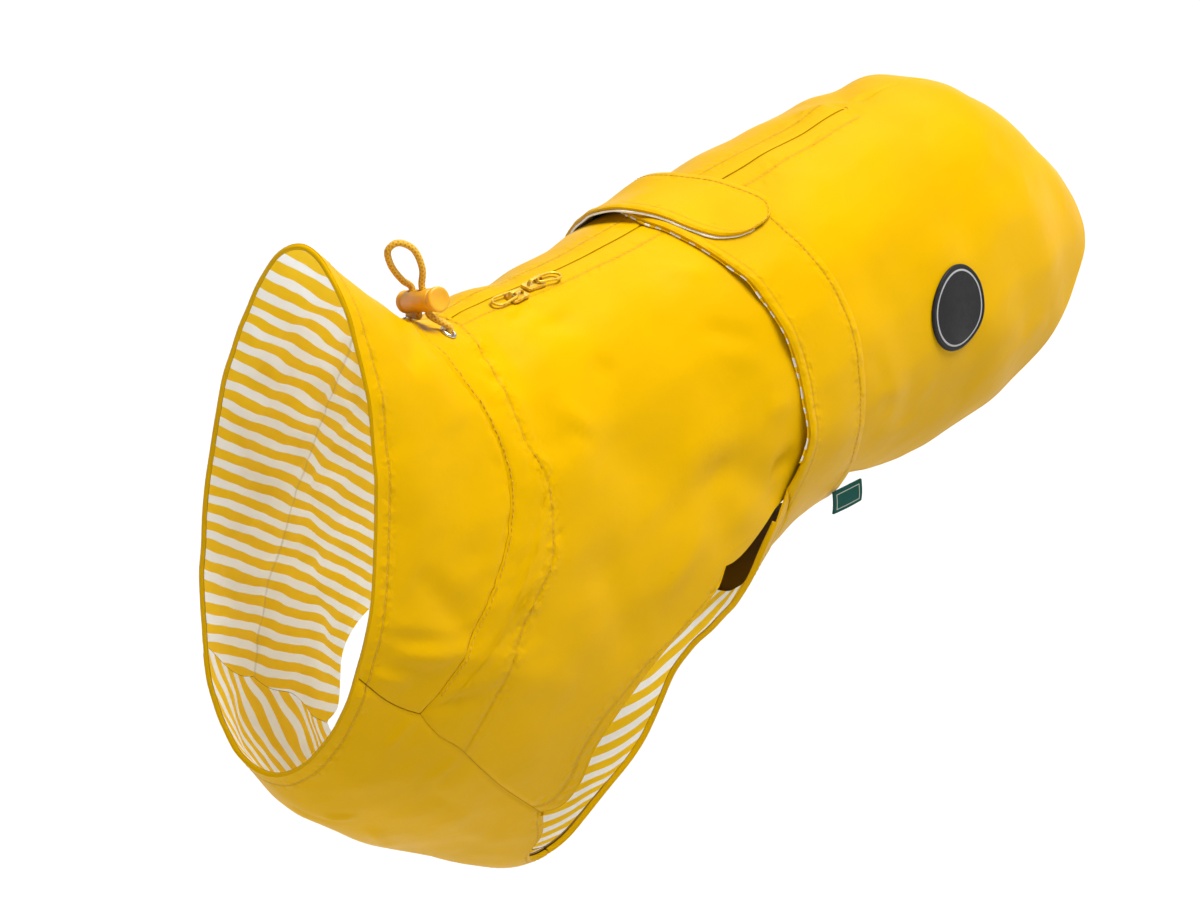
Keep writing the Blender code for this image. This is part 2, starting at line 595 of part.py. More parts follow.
def make_zip():
    tape_rows = np.linspace(SLIT_STATIONS[0] - 2, SLIT_STATIONS[1] + 3, 25)
    tape_columns = np.linspace(-TAPE_HALF_ANGLE, TAPE_HALF_ANGLE, 5)
    grid = np.stack(np.meshgrid(tape_rows, tape_columns, indexing="ij"), -1)
    sheet("zip_tape", grid, -TAPE_DROP, -TAPE_DROP - 1.0, SHELL)
    for row in SLIDERS:
        make_slider(*row)


def make_slider(name, station, angle, direction, pull_yaw):
    """A slider's body with the arch that carries its pull, and the pull, which turns in the arch."""
    along, around = form_tangents(np.array(station), np.array(angle))
    seat = cloth_point(station, angle, SEAM_GAP) - ORIGIN
    frame = frame_of(seat, np.cross(around, along), along * direction)
    body = add_object(f"slider_{name}", box_mesh("slider_body", (-5.5, -3.8, 0), (5.5, 3.8, SLIDER_THICKNESS)),
                      PAINTED)
    body.matrix_world = frame
    bevel = body.modifiers.new("Bevel", "BEVEL")
    bevel.width = 0.5 * MM
    bevel.segments = 1
    eye = frame @ Matrix.Translation((EYE_OFFSET * MM, 0, EYE_HEIGHT * MM))
    eye = eye @ Matrix.Rotation(-math.radians(pull_yaw * direction), 4, "Z")
    low, bar, top = SLIDER_THICKNESS - EYE_HEIGHT - 0.5, 1.1, 2.1
    arch = (((-2.6, -0.8, low), (-1.5, 0.8, top)), ((1.5, -0.8, low), (2.6, 0.8, top)),
            ((-2.6, -0.8, bar), (2.6, 0.8, top)))
    for index, (corner, opposite) in enumerate(arch):
        piece = add_object(f"arch_{name}_{index}", box_mesh("arch", corner, opposite), PAINTED)
        piece.matrix_world = eye
        combine(body, piece, "UNION")
    outline = ((0, -1.8), (0, 1.8), (1.6, 2.4), (PULL_LENGTH - 3.6, 3.1), (PULL_LENGTH - 1.2, 2.3),
               (PULL_LENGTH, 0), (PULL_LENGTH - 1.2, -2.3), (PULL_LENGTH - 3.6, -3.1), (1.6, -2.4))
    curve = bpy.data.curves.new(f"pull_{name}", "CURVE")
    curve.dimensions = "3D"
    curve.bevel_depth = PULL_WIRE_RADIUS * MM
    curve.bevel_resolution = 1
    spline = curve.splines.new("POLY")
    spline.points.add(len(outline) - 1)
    for point, (x, y) in zip(spline.points, outline):
        point.co = (x * MM, y * MM, 0, 1)
    spline.use_cyclic_u = True
    curve.materials.append(material(*PAINTED))
    pull = bpy.data.objects.new(f"pull_{name}", curve)
    pull.matrix_world = eye @ Matrix.Rotation(math.radians(PULL_TILT), 4, "Y")
    bpy.context.scene.collection.objects.link(pull)


def make_eyelets():
    profile = ((EYELET_HOLE_RADIUS, 0.4), (EYELET_HOLE_RADIUS, 1.1), (2.8, 1.5), (3.4, 1.5),
               (EYELET_RADIUS, 1.1), (EYELET_RADIUS, 0.4))
    for name, station, angle in EYELETS:
        turned_on_cloth(name, station, angle, profile, 20, METAL)


def make_patch():
    radius = PATCH_DIAMETER / 2
    top = SEAM_GAP + PATCH_THICKNESS
    profile = ((0, top), (radius * 0.35, top), (radius * 0.7, top), (radius - 0.6, top), (radius, top - 0.5),
               (radius, SEAM_GAP), (radius * 0.7, SEAM_GAP), (radius * 0.35, SEAM_GAP), (0, SEAM_GAP))
    turned_on_cloth("patch", *PATCH_PLACE, profile, 28, RUBBER)


def make_label():
    """A flag label that hangs straight down, from the outside of the belt's lower rear corner."""
    front, rear = (cloth_point(*place) - ORIGIN for place in LABEL_TOP)
    seam = front + np.linspace(0, 1, 4)[:, None] * (rear - front)
    drops = np.linspace(0, LABEL_HEIGHT, 4)
    outward = np.array([0.0, -1.0, 0.0])
    cloth = seam[:, None] + np.stack([0 * drops, -0.8 * np.sin(drops / 5), -drops], -1)[None]
    count = cloth.shape[0] * cloth.shape[1]
    points = np.concatenate([(cloth + outward).reshape(-1, 3), cloth.reshape(-1, 3)])
    rows, columns = cloth.shape[:2]
    faces, border = [], {}
    for row in range(rows - 1):
        for column in range(columns - 1):
            first = row * columns + column
            cell = (first, first + 1, first + columns + 1, first + columns)
            faces += [cell, tuple(i + count for i in reversed(cell))]
            for start, end in zip(cell, cell[1:] + cell[:1]):
                if border.pop((end, start), None) is None:
                    border[(start, end)] = True
    faces += [(end, start, start + count, end + count) for start, end in border]
    add_object("label", closed_mesh("label", points, faces), WOVEN)


# ---------------------------------------------------------------- cord lock and drawcord
LOCK_HOLE_AXIS = (Vector((0, 0, 1)) - LOCK_AXIS * LOCK_AXIS.z).normalized()


def make_cord_lock():
    frame = frame_of(LOCK_CENTRE - Vector(ORIGIN), LOCK_AXIS, LOCK_HOLE_AXIS)
    half, radius, bore = LOCK_HALF_LENGTH, LOCK_RADIUS, LOCK_BORE_RADIUS
    barrel = turned("cord_lock", ((0, -half), (radius - 1.0, -half), (radius, -half + 1.0), (radius, half - 0.4),
                                  (radius - 0.4, half), (bore, half), (bore, -9.4), (0, -9.4)), 20, PLASTIC, frame)
    stem, head = STEM_RADIUS, half + BUTTON_GAP
    button = turned("cord_lock_button", ((0, STEM_END), (stem, STEM_END), (stem, head),
                                         (BUTTON_RADIUS - 0.5, head), (BUTTON_RADIUS, head + 0.5),
                                         (BUTTON_RADIUS, head + BUTTON_HEAD - 0.6),
                                         (BUTTON_RADIUS - 0.6, head + BUTTON_HEAD), (0, head + BUTTON_HEAD)),
                    20, PLASTIC, frame)
    hole_profile = ((0, -8), (LOCK_HOLE_RADIUS, -8), (LOCK_HOLE_RADIUS, 8), (0, 8))
    for index, place in enumerate(LOCK_HOLE_PLACES):
        centre = LOCK_CENTRE - Vector(ORIGIN) + LOCK_AXIS * place
        hole = turned(f"lock_hole_{index}", hole_profile, 12, PLASTIC, frame_of(centre, LOCK_HOLE_AXIS, LOCK_AXIS))
        combine(barrel, hole, "DIFFERENCE")
    low, high = LOCK_HOLE_PLACES
    slot = add_object("stem_slot", box_mesh("stem_slot", (-8, -LOCK_HOLE_RADIUS, low - 1.7),
                                            (8, LOCK_HOLE_RADIUS, high + 1.7 + BUTTON_TRAVEL + 0.2)), PLASTIC)
    slot.matrix_world = frame
    combine(button, slot, "DIFFERENCE")


def smooth_route(points, spacing):
    """A smooth curve through the route's points, as points about a spacing apart."""
    points = np.array(points, float)
    steps = np.r_[0, np.cumsum(np.linalg.norm(np.diff(points, axis=0), axis=1) ** 0.5)]
    slopes = np.gradient(points, steps, axis=0)
    dense = []
    for i in range(len(points) - 1):
        span = steps[i + 1] - steps[i]
        for t in np.linspace(0, 1, 40, endpoint=False):
            dense.append((2 * t**3 - 3 * t**2 + 1) * points[i] + (t**3 - 2 * t**2 + t) * slopes[i] * span
                         + (3 * t**2 - 2 * t**3) * points[i + 1] + (t**3 - t**2) * slopes[i + 1] * span)
    dense = np.array(dense + [points[-1]])
    lengths = np.r_[0, np.cumsum(np.linalg.norm(np.diff(dense, axis=0), axis=1))]
    count = int(round(lengths[-1] / spacing)) + 1
    wanted = np.linspace(0, lengths[-1], count)
    return np.stack([np.interp(wanted, lengths, dense[:, i]) for i in range(3)], -1)


def cord_route():
    """From the left eyelet up through the lock, round the loop and down to the right eyelet."""
    far_hole, near_hole = (LOCK_CENTRE + LOCK_AXIS * place for place in LOCK_HOLE_PLACES)
    left, right = ([cloth_point(station, angle, height) for height in (-1.3, 0.8, 2.8)]
                   for _, station, angle in EYELETS)
    through = [LOCK_HOLE_AXIS * place for place in (-6.5, -3.0, 3.0, 6.5)]
    return (left + [near_hole + step for step in through] + [Vector(point) for point in LOOP_POINTS[::-1]]
            + [far_hole + step for step in reversed(through)] + right[::-1])


def make_drawcord():
    points = smooth_route(cord_route(), CORD_DIAMETER * 0.85) - ORIGIN
    curve = bpy.data.curves.new("drawcord", "CURVE")
    curve.dimensions = "3D"
    curve.bevel_depth = CORD_DIAMETER / 2 * MM
    curve.bevel_resolution = 2
    curve.use_fill_caps = True
    spline = curve.splines.new("POLY")
    spline.points.add(len(points) - 1)
    for point, place in zip(spline.points, points):
        point.co = (*(Vector(place) * MM), 1)
    curve.materials.append(material(*ELASTIC))
    bpy.context.scene.collection.objects.link(bpy.data.objects.new("drawcord", curve))


def main():
    for old in list(bpy.data.objects):
        bpy.data.objects.remove(old, do_unlink=True)
    make_collar()
    make_body()
    make_chest()
    make_belly()
    make_neck_lining()
    make_wing("wing_left", WING_LEFT, 1)
    make_wing("wing_right", WING_RIGHT, -1)
    make_zip()
    make_eyelets()
    make_patch()
    make_label()
    make_cord_lock()
    make_drawcord()


main()
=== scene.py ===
"""Dog raincoat, dressed: waterproof yellow shell, striped lining, zip, drawcord, belt wings and trims.

Lengths in this script are in mm unless a name says otherwise, and are put into metres as each mesh is made.
"""
import math

import bmesh
import bpy
import numpy as np
from mathutils import Matrix, Vector


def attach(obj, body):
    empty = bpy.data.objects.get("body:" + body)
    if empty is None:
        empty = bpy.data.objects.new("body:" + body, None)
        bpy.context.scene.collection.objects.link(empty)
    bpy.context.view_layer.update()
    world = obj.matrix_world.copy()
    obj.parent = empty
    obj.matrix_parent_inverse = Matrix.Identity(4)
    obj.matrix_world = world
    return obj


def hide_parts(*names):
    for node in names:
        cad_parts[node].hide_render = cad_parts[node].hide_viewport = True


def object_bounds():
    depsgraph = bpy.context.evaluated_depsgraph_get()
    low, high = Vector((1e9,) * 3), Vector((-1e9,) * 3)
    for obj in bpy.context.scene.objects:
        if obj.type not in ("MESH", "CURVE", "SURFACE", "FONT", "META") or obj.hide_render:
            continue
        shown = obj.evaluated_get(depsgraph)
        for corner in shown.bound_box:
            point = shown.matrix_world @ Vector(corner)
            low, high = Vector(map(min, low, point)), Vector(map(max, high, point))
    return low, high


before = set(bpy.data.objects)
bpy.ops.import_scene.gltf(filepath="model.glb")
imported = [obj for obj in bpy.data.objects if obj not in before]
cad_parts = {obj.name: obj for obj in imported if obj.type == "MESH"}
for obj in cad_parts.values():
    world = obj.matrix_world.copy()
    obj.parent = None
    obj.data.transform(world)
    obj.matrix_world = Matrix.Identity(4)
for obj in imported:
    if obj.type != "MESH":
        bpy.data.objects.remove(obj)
cad_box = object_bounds()

# ---------------------------------------------------------------- studio
# A pale floor well below the coat, a broad soft light from high on the dog's left, weaker ones from behind
# and in front, and a camera in front of the dog's left shoulder, looking down on it.
AZIMUTH, ELEVATION = math.radians(-50), math.radians(28)
CAMERA_DISTANCE_M = 1.35
TARGET_M = Vector((0.0749, 0.0, -0.1039))
FLOOR_DROP_M = 0.42
FLOOR_HALF_M = 8


def add_object(name, data):
    made = bpy.data.objects.new(name, data)
    bpy.context.scene.collection.objects.link(made)
    return made


away = Vector((math.cos(ELEVATION) * math.sin(AZIMUTH), -math.cos(ELEVATION) * math.cos(AZIMUTH),
               math.sin(ELEVATION)))
camera = add_object("camera", bpy.data.cameras.new("camera"))
camera.data.lens = 85
camera.data.sensor_width = 36
camera.location = TARGET_M + away * CAMERA_DISTANCE_M
camera.rotation_euler = (-away).to_track_quat("-Z", "Y").to_euler()
bpy.context.scene.camera = camera


def add_lamp(name, kind, energy, colour):
    made = add_object(name, bpy.data.lights.new(name, kind))
    made.data.energy, made.data.color = energy, colour
    return made


for name, place, softness_degrees, strength in (("key_light", (0.5, -0.45, 1.4), 32, 4.75),
                                                ("rear_light", (0.9, 0.5, 1.3), 60, 1.3),
                                                ("front_light", (-1.0, -0.22, 0.0), 50, 0.75)):
    lamp = add_lamp(name, "SUN", strength, (1.0, 0.99, 0.97))
    lamp.data.angle = math.radians(softness_degrees)
    lamp.rotation_euler = (TARGET_M - Vector(place)).to_track_quat("-Z", "Y").to_euler()

# Two small round lamps, which aren't seen themselves, brighten the inside of the coat.
for name, place, watts in (("neck_lamp", (-0.04, -0.015, -0.12), 0.036),
                           ("breast_lamp", (0.02, -0.01, -0.185), 0.07)):
    lamp = add_lamp(name, "POINT", watts, (0.87, 0.94, 1.0))
    lamp.data.shadow_soft_size = 0.03
    lamp.location = place
    lamp.visible_camera = False

world = bpy.data.worlds.new("studio")
bpy.context.scene.world = world
world.use_nodes = True
sky = world.node_tree
sky_direction = sky.nodes.new("ShaderNodeTexCoord").outputs["Generated"]
sky_height = sky.nodes.new("ShaderNodeSeparateXYZ")
sky_band = sky.nodes.new("ShaderNodeMapRange")      # white walls up to eye level, a dimmer room above
sky.links.new(sky_direction, sky_height.inputs[0])
sky.links.new(sky_height.outputs["Z"], sky_band.inputs["Value"])
for key, value in {"From Min": 0.03, "From Max": 0.15, "To Min": 1.0, "To Max": 0.12}.items():
    sky_band.inputs[key].default_value = value
sky.links.new(sky_band.outputs[0], sky.nodes["Background"].inputs["Strength"])
sky.nodes["Background"].inputs["Color"].default_value = (1, 1, 1, 1)
bpy.context.scene.view_settings.view_transform = "Standard"

floor_mesh = bpy.data.meshes.new("floor")
floor_mesh.from_pydata([(x * FLOOR_HALF_M, y * FLOOR_HALF_M, cad_box[0][2] - FLOOR_DROP_M)
                        for x, y in ((-1, -1), (1, -1), (1, 1), (-1, 1))], [], [(0, 1, 2, 3)])
floor_look = bpy.data.materials.new("pale_floor")
floor_look.use_nodes = True
floor_surface = floor_look.node_tree.nodes["Principled BSDF"].inputs
floor_surface["Base Color"].default_value = (0.58, 0.58, 0.58, 1)
floor_surface["Roughness"].default_value = 0.9
floor_mesh.materials.append(floor_look)
floor = add_object("floor", floor_mesh)

# ---------------------------------------------------------------- the coat's form
# Every sewn piece lies on one filled-out form. A place on it has a station (mm along the back from the
# drawcord, towards the tail) and an angle (degrees round from the middle of the back, positive on the left).

# The form's sections. "widest" is how far down a section is widest, "bow" moves its sides to the tail,
# "egg" makes it wider above than below, "keel" lifts the middle of the belly, and "lean" moves its top to
# the right.
# Columns: station, top_x, top_z, bottom_x, bottom_z, half_width, widest, bow, egg, keel, lean.
SECTIONS = (
    (-78, -65, 58, -116, -171, 51.5, 0.565, 4, 0.00, 0, 5),     # rim of the collar
    (-36, -34, 25, -92, -207, 59.0, 0.51, 3, 0.00, 0, 2),       # collar
    (0, 0, 0, -56, -240, 66.0, 0.46, 2, 0.00, 0, 0),            # drawcord
    (25, 25, 0, -20, -266, 71.0, 0.46, 0, 0.00, 0, 0),          # behind the drawcord
    (70, 70, -2, 38, -300, 76.0, 0.50, 0, 0.05, 0, 0),          # shoulders
    (115, 115, -2, 105, -276, 79.0, 0.54, 0, 0.12, 8, 0),       # chest
    (160, 160, 0, 152, -218, 78.0, 0.56, 0, 0.20, 17, 0),       # belt, front edge
    (210, 210, 4, 210, -188, 80.0, 0.57, 0, 0.18, 8, 0),        # belt, rear edge
    (260, 260, 7, 272, -186, 83.0, 0.56, 0, 0.08, 0, 0),        # loin
    (312, 312, 10, 335, -188, 85.0, 0.54, 0, 0.00, 0, 0),       # hips
    (366, 366, 8, 392, -190, 83.0, 0.52, 0, 0.00, 0, 0),        # rump
    (408, 408, -11, 430, -195, 76.5, 0.50, 0, 0.00, 0, 0),
    (444, 437, -34, 459, -200, 70.0, 0.50, 0, 0.00, 0, 0),      # rear hem
)
MM = 0.001
HOLD_STATION = 40.0
HOLD_DROP = 4.3
RIM_STATION = -78.0
DRAWN_FORWARD = 34.0
DRAWN_DOWN = 12.5

# Folds as straight ridges (or, below 0, troughs) between two places: first the deep ones, then the creases.
# Columns: station_1, angle_1, station_2, angle_2, width, height.
FOLDS = (
    (20, 20, 27, 52, 9, -2.2),         # trough behind the drawcord, left
    (22, -18, 30, -46, 9, -2.0),       # and right
    (49, 12, 60, 20, 7, -1.8),         # dimple beside the zip
    (60, -12, 72, -22, 8, -1.4),
    (-62, 97, 30, 103, 9, 1.8),        # ridge above the chest seam
    (-58, -94, 22, -100, 9, 1.6),
    (-44, 84, -18, 95, 7, -1.6),
    (118, 66, 152, 84, 11, -3.0),      # dent above the leg hole
    (120, -62, 150, -80, 11, -2.6),
    (320, -8, 352, -30, 12, -2.0),     # hollow behind the zip's end
    (235, 60, 250, 100, 14, -1.8),     # behind the belt
    (238, -58, 252, -98, 14, -1.8),
    (-40, 150, 10, 168, 12, -1.4),     # across the chest
    (-30, -148, 15, -160, 12, -1.2),
)
CREASES = (
    (-34, 30, -22, 48, 9, 1.1),        # collar, from the eyelet forwards
    (-27, 20, -47, 37, 6, -1.1),
    (-34, 14, -14, 22, 6, -0.7),
    (-30, -16, -12, -24, 6, -0.9),
    (-26, -36, -15, -50, 8, 0.8),
    (-66, 60, -40, 76, 10, 0.7),
    (-60, -58, -36, -72, 10, 0.6),
    (-76, 48, -68, 51, 2.0, 0.5),      # small puckers of the turned rim
    (-77, 57, -69, 59, 2.0, -0.5),
    (-76, -44, -68, -47, 2.0, 0.5),
    (-50, 76, -10, 77, 9, -0.6),       # side of the collar
    (-48, 84, -16, 82, 7, 0.5),
    (-48, -80, -12, -80, 9, -0.7),
    (-72, 99, -20, 96, 3.0, -1.2),     # above the chest seam
    (-64, 102.5, -26, 100, 3.0, 1.1),
    (-72, 109, -43, 107, 2.6, 1.1),
    (-22, 106, 0, 103, 2.6, 1.0),
    (-20, 110, -2, 107, 2.6, -0.8),
    (-32, 113, -12, 108, 2.6, -0.8),
    (-4, 99, 22, 95, 3.0, 0.5),
    (12, 112, 34, 108, 3.0, 0.6),
    (-52, -103, -18, -101, 3.4, -0.8),
    (-46, -107, -16, -105, 3.4, 0.8),
    (-30, -111, 6, -114, 3.4, 0.6),
    (4, -112, 28, -107, 3.0, 0.5),
    (-34, 115, -43, 126, 2.8, 1.0),    # chest
    (-5, 123, -13, 132, 2.8, 1.0),
    (-30, 128, -10, 138, 4.5, 0.7),
    (-14, 134, 12, 139, 3.0, -0.5),
    (2, 142, 36, 150, 5.0, 0.6),
    (-40, 164, -29, 154, 2.8, 1.2),
    (-18, 157, 6, 170, 3.2, 1.2),
    (-52, 176, -30, 163, 3.0, -0.7),
    (-58, -124, -34, -132, 4.0, 0.7),
    (-24, -130, 0, -143, 4.5, 0.7),
    (6, -144, 34, -150, 5.0, 0.6),
    (-5, 35, -2, 44, 2.0, -0.7),       # across the drawcord's tunnel
    (10, 52, 20, 59, 2.2, 0.8),
    (14, 49, 24, 54, 2.2, -0.7),
    (2, 20, 14, 26, 2.2, -0.8),
    (3, 16, 16, 19, 2.4, 0.7),
    (1, 8, 15, 13, 2.0, -0.6),
    (2, -18, 14, -24, 2.2, -0.8),
    (10, -50, 20, -58, 2.2, 0.8),
    (20, 12.5, 31, 10.5, 2.8, -1.0),   # beside the zip's stitches
    (31, 14.5, 46, 13.0, 2.8, -1.0),
    (32, 10.5, 44, 9.5, 2.6, 0.7),
    (40, 19, 62, 20, 4.0, -0.9),
    (6, 22, 18, 44, 4.5, 0.9),
    (14, 30, 22, 50, 5, -0.8),         # shoulders
    (34, 42, 46, 51, 5, 1.1),
    (35, 49, 48, 53, 2.8, -1.0),
    (60, 33, 72, 39, 6, -1.0),
    (52, 48, 78, 66, 12, -1.0),
    (40, 74, 66, 94, 10, -0.9),
    (78, 84, 104, 74, 7, 0.9),
    (104, 58, 116, 84, 12, -1.4),
    (92, 60, 128, 64, 9, 0.9),
    (34, -42, 48, -52, 5, 1.0),
    (54, -50, 80, -66, 12, -0.9),
    (66, -30, 100, -44, 12, -0.8),
    (44, -74, 70, -92, 10, -0.8),
    (80, -84, 106, -74, 7, 0.8),
    (122, 11, 146, 21, 3.0, -0.7),     # in front of the belt
    (124, 16, 146, 26, 3.4, 0.6),
    (124, 36, 153, 46, 4.5, -0.8),
    (126, 42, 152, 52, 5.0, 0.7),
    (150, 79, 168, 82, 5.0, -2.2),
    (146, 62, 164, 66, 5.0, 0.8),
    (116, -20, 144, -26, 4.0, 0.6),
    (126, -40, 152, -46, 5.0, 0.7),
    (130, -56, 156, -58, 5.0, -0.8),
    (224, 12, 246, 20, 5.0, 0.5),      # behind the belt
    (222, 70, 236, 96, 5.0, -0.9),
    (224, 84, 250, 92, 4.0, 0.7),
    (228, 102, 262, 108, 6.0, 0.9),
    (262, 96, 300, 112, 13, -1.0),
    (300, 84, 338, 100, 14, 1.0),
    (222, -72, 238, -96, 5.0, -0.8),
    (230, -98, 262, -108, 6.0, 0.8),
    (296, -84, 336, -100, 14, 1.0),
    (288, -11, 305, -5, 6.0, 1.2),     # puckers round the zip's end
    (308, 0, 304, 8, 2.2, -0.9),
    (308, 0, 305, -8, 1.8, -0.8),
    (312, -3, 332, 0, 2.2, -1.1),
    (309, 1, 328, -5, 2.8, 0.7),
    (309, 4, 330, 10, 3.4, 0.6),
    (300, -8, 312, -18, 2.6, -0.6),
    (330, 20, 366, 40, 14, 0.9),       # rump
    (356, -16, 392, -34, 14, 0.9),
    (372, 52, 410, 62, 13, -0.9),
    (376, -50, 412, -60, 13, -0.9),
    (330, 102, 366, 96, 9, 0.9),
    (334, -104, 368, -96, 9, 0.9),
)

section_table = np.array(SECTIONS, float)
knots, values = section_table[:, 0], section_table[:, 1:]
slopes = np.gradient(values, knots, axis=0)


def hermite(t, start, end, start_slope, end_slope):
    """A cubic between two values with the slopes at its ends."""
    return ((2 * t**3 - 3 * t**2 + 1) * start + (t**3 - 2 * t**2 + t) * start_slope
            + (3 * t**2 - 2 * t**3) * end + (t**3 - t**2) * end_slope)


def smooth_step(value, low, high):
    t = np.clip((value - low) / (high - low), 0, 1)
    return t * t * (3 - 2 * t)


def unit(vectors):
    return vectors / np.linalg.norm(vectors, axis=-1, keepdims=True)


def drawn_place(station, angle):
    """Where a place on the cloth lies on the form: on the right, it is drawn forwards round the leg hole."""
    right = (-angle) % 360
    beside_hole = smooth_step(right, 80, 126) * (1 - smooth_step(right, 136, 178))
    beside_seam = smooth_step(right, 40, 112) * (1 - smooth_step(right, 112, 180))
    in_front = 1 - smooth_step(station, 58, 125)
    forward = DRAWN_FORWARD * beside_hole * smooth_step(station, -12, 50) * in_front
    down = DRAWN_DOWN * beside_seam * (1 - 0.9 * smooth_step(station, -50, 50)) * in_front
    return station - forward, angle - down


def form_point(station, angle):
    """Points of the form for stations and angles in degrees."""
    station, angle = drawn_place(station, angle)
    station = np.clip(station, knots[0], knots[-1])
    low = np.clip(np.searchsorted(knots, station, side="right") - 1, 0, len(knots) - 2)
    span = (knots[low + 1] - knots[low])[..., None]
    section = hermite((station - knots[low])[..., None] / span, values[low], values[low + 1],
                      slopes[low] * span, slopes[low + 1] * span)
    top_x, top_z, bottom_x, bottom_z, half_width, widest, bow, egg, keel, lean = np.moveaxis(section, -1, 0)
    turn = np.radians(angle)
    lower = (1 - np.cos(turn)) / 2
    down = lower + (widest - 0.5) * np.sin(turn) ** 2
    x = top_x + (bottom_x - top_x) * down + bow * np.sin(turn) ** 2
    y = lean * (1 - lower) ** 2 - half_width * np.sin(turn) * (1 + egg * np.cos(turn))
    z = top_z + (bottom_z - top_z) * down + keel * lower**4
    return np.stack([x, y, z], -1)


def form_tangents(station, angle):
    """The form's derivatives per mm of station and per degree of angle."""
    before = np.maximum(station - 0.1, knots[0])
    after = np.minimum(station + 0.1, knots[-1])
    along = (form_point(after, angle) - form_point(before, angle)) / (after - before)[..., None]
    around = (form_point(station, angle + 0.05) - form_point(station, angle - 0.05)) / 0.1
    return along, around


def outward(station, angle):
    """The form's outward direction."""
    along, around = form_tangents(station, angle)
    return unit(np.cross(around, along))


def ripple(points, wavelength, seed):
    """Soft uneven waves of about one length, from -1 to 1."""
    random = np.random.default_rng(seed)
    total = np.zeros(points.shape[:-1])
    for _ in range(7):
        direction = unit(random.normal(size=3))
        pace = 2 * math.pi / (wavelength * random.uniform(0.75, 1.4))
        total += np.sin(points @ direction * pace + random.uniform(0, 2 * math.pi))
    return total / 4


def ridge_height(points, table, taper):
    """The height of straight ridges and troughs. A taper makes them fade along their length."""
    height = np.zeros(points.shape[:-1])
    for station_1, angle_1, station_2, angle_2, width, rise in table:
        start = form_point(station_1, angle_1)
        line = form_point(station_2, angle_2) - start
        place = np.clip(((points - start) @ line) / (line @ line), 0, 1)
        distance = np.linalg.norm(points - start - place[..., None] * line, axis=-1)
        fade = 1 - taper * np.abs(2 * place - 1) ** 3
        height += rise * fade * np.exp(-(distance / width) ** 2)
    return height


def half_turn(angle):
    """The angle from the middle of the back, the same on both sides."""
    return np.abs((angle + 180) % 360 - 180)


# The drawcord's tunnel lies between the neck seam and a stitched line behind it.
NECK_SEAM = ((-14, 0), (-18, 16), (-14, 30), (-7, 42), (-2, 57), (-3, 69), (-9, 82), (-16, 93), (-23, 104),
             (-31, 114))
TUNNEL_REAR = ((12, 0), (9, 16), (7, 32), (11, 53), (18, 59), (19, 78), (7, 90), (2, 104), (-4, 120))
TUNNEL_END_ANGLE = 108
TUNNEL_BULGE = 0.9
GATHER_HEIGHT = 0.8
GATHER_REACH = 6.5


def line_station(line, angle):
    """A line's station at each angle, the same on both sides, with its corners rounded."""
    line = np.array(line, float)
    turn = half_turn(angle)
    return sum(np.interp(turn + shift, line[:, 1], line[:, 0]) for shift in (-4, -2, 0, 2, 4)) / 5


def gather_height(station, angle, points):
    """The drawcord's bulge in its tunnel, and the gathers across it and beside its two stitched lines."""
    front, rear = line_station(NECK_SEAM, angle), line_station(TUNNEL_REAR, angle)
    share = np.clip((station - front) / (rear - front), 0, 1)
    inside = np.sin(math.pi * share)
    beyond = np.minimum(np.abs(station - front), np.abs(station - rear))
    reach = np.where((share > 0) & (share < 1), 1.0, np.exp(-(beyond / GATHER_REACH) ** 2))
    stop = 1 / (1 + np.exp((half_turn(angle) - TUNNEL_END_ANGLE) / 3))
    slow = ripple(points, 26, 3)
    gathers = ripple(points, 9.5, 11) * (0.6 + 0.5 * slow) + 0.35 * ripple(points, 5.5, 12)
    return stop * (TUNNEL_BULGE * inside + GATHER_HEIGHT * reach * gathers)


# The shell's creases and its ripples (height, length, seed), which are pressed flat round the two sliders.
CREASE_GAIN = 1.3
RIPPLES = ((0.9, 46, 5), (0.22, 17, 6))
SLIDERS_MIDDLE = (56.0, 4.0)
PRESSED_FLAT = (9, 24)


def cloth_surface(station, angle):
    """The coat's outer face with its folds, and its outward direction."""
    station, angle = np.broadcast_arrays(np.asarray(station, float), np.asarray(angle, float))
    normal = outward(station, angle)
    points = form_point(station, angle)
    loose = CREASE_GAIN * ridge_height(points, CREASES, 1) + gather_height(station, angle, points)
    loose += sum(height * ripple(points, length, seed) for height, length, seed in RIPPLES)
    beside_sliders = np.linalg.norm(points - form_point(*SLIDERS_MIDDLE), axis=-1)
    height = ridge_height(points, FOLDS, 0) + loose * smooth_step(beside_sliders, *PRESSED_FLAT)
    return points + normal * height[..., None], normal


hold_point = form_point(HOLD_STATION, 0.0)
ORIGIN = hold_point - outward(HOLD_STATION, 0.0) * (HOLD_DROP - ridge_height(hold_point, FOLDS, 0))


def cloth_point(station, angle, height=0.0):
    """Points in metres in the part's frame, at a height off the coat's outer face."""
    places, normal = cloth_surface(station, angle)
    return (places + normal * np.asarray(height, float)[..., None] - ORIGIN) * MM


MM_PER_DEGREE = 1.3


def outline(points):
    """A smooth line through places, as a function of the share of its length."""
    points = np.array(points, float)
    lengths = np.r_[0, np.cumsum(np.hypot(*(np.diff(points, axis=0) * (1.0, MM_PER_DEGREE)).T))]
    tangents = np.gradient(points, lengths, axis=0)

    def at(share):
        wanted = np.clip(share, 0, 1) * lengths[-1]
        low = np.clip(np.searchsorted(lengths, wanted, side="right") - 1, 0, len(points) - 2)
        span = (lengths[low + 1] - lengths[low])[..., None]
        t = (wanted - lengths[low])[..., None] / span
        return hermite(t, points[low], points[low + 1], tangents[low] * span, tangents[low + 1] * span)
    return at


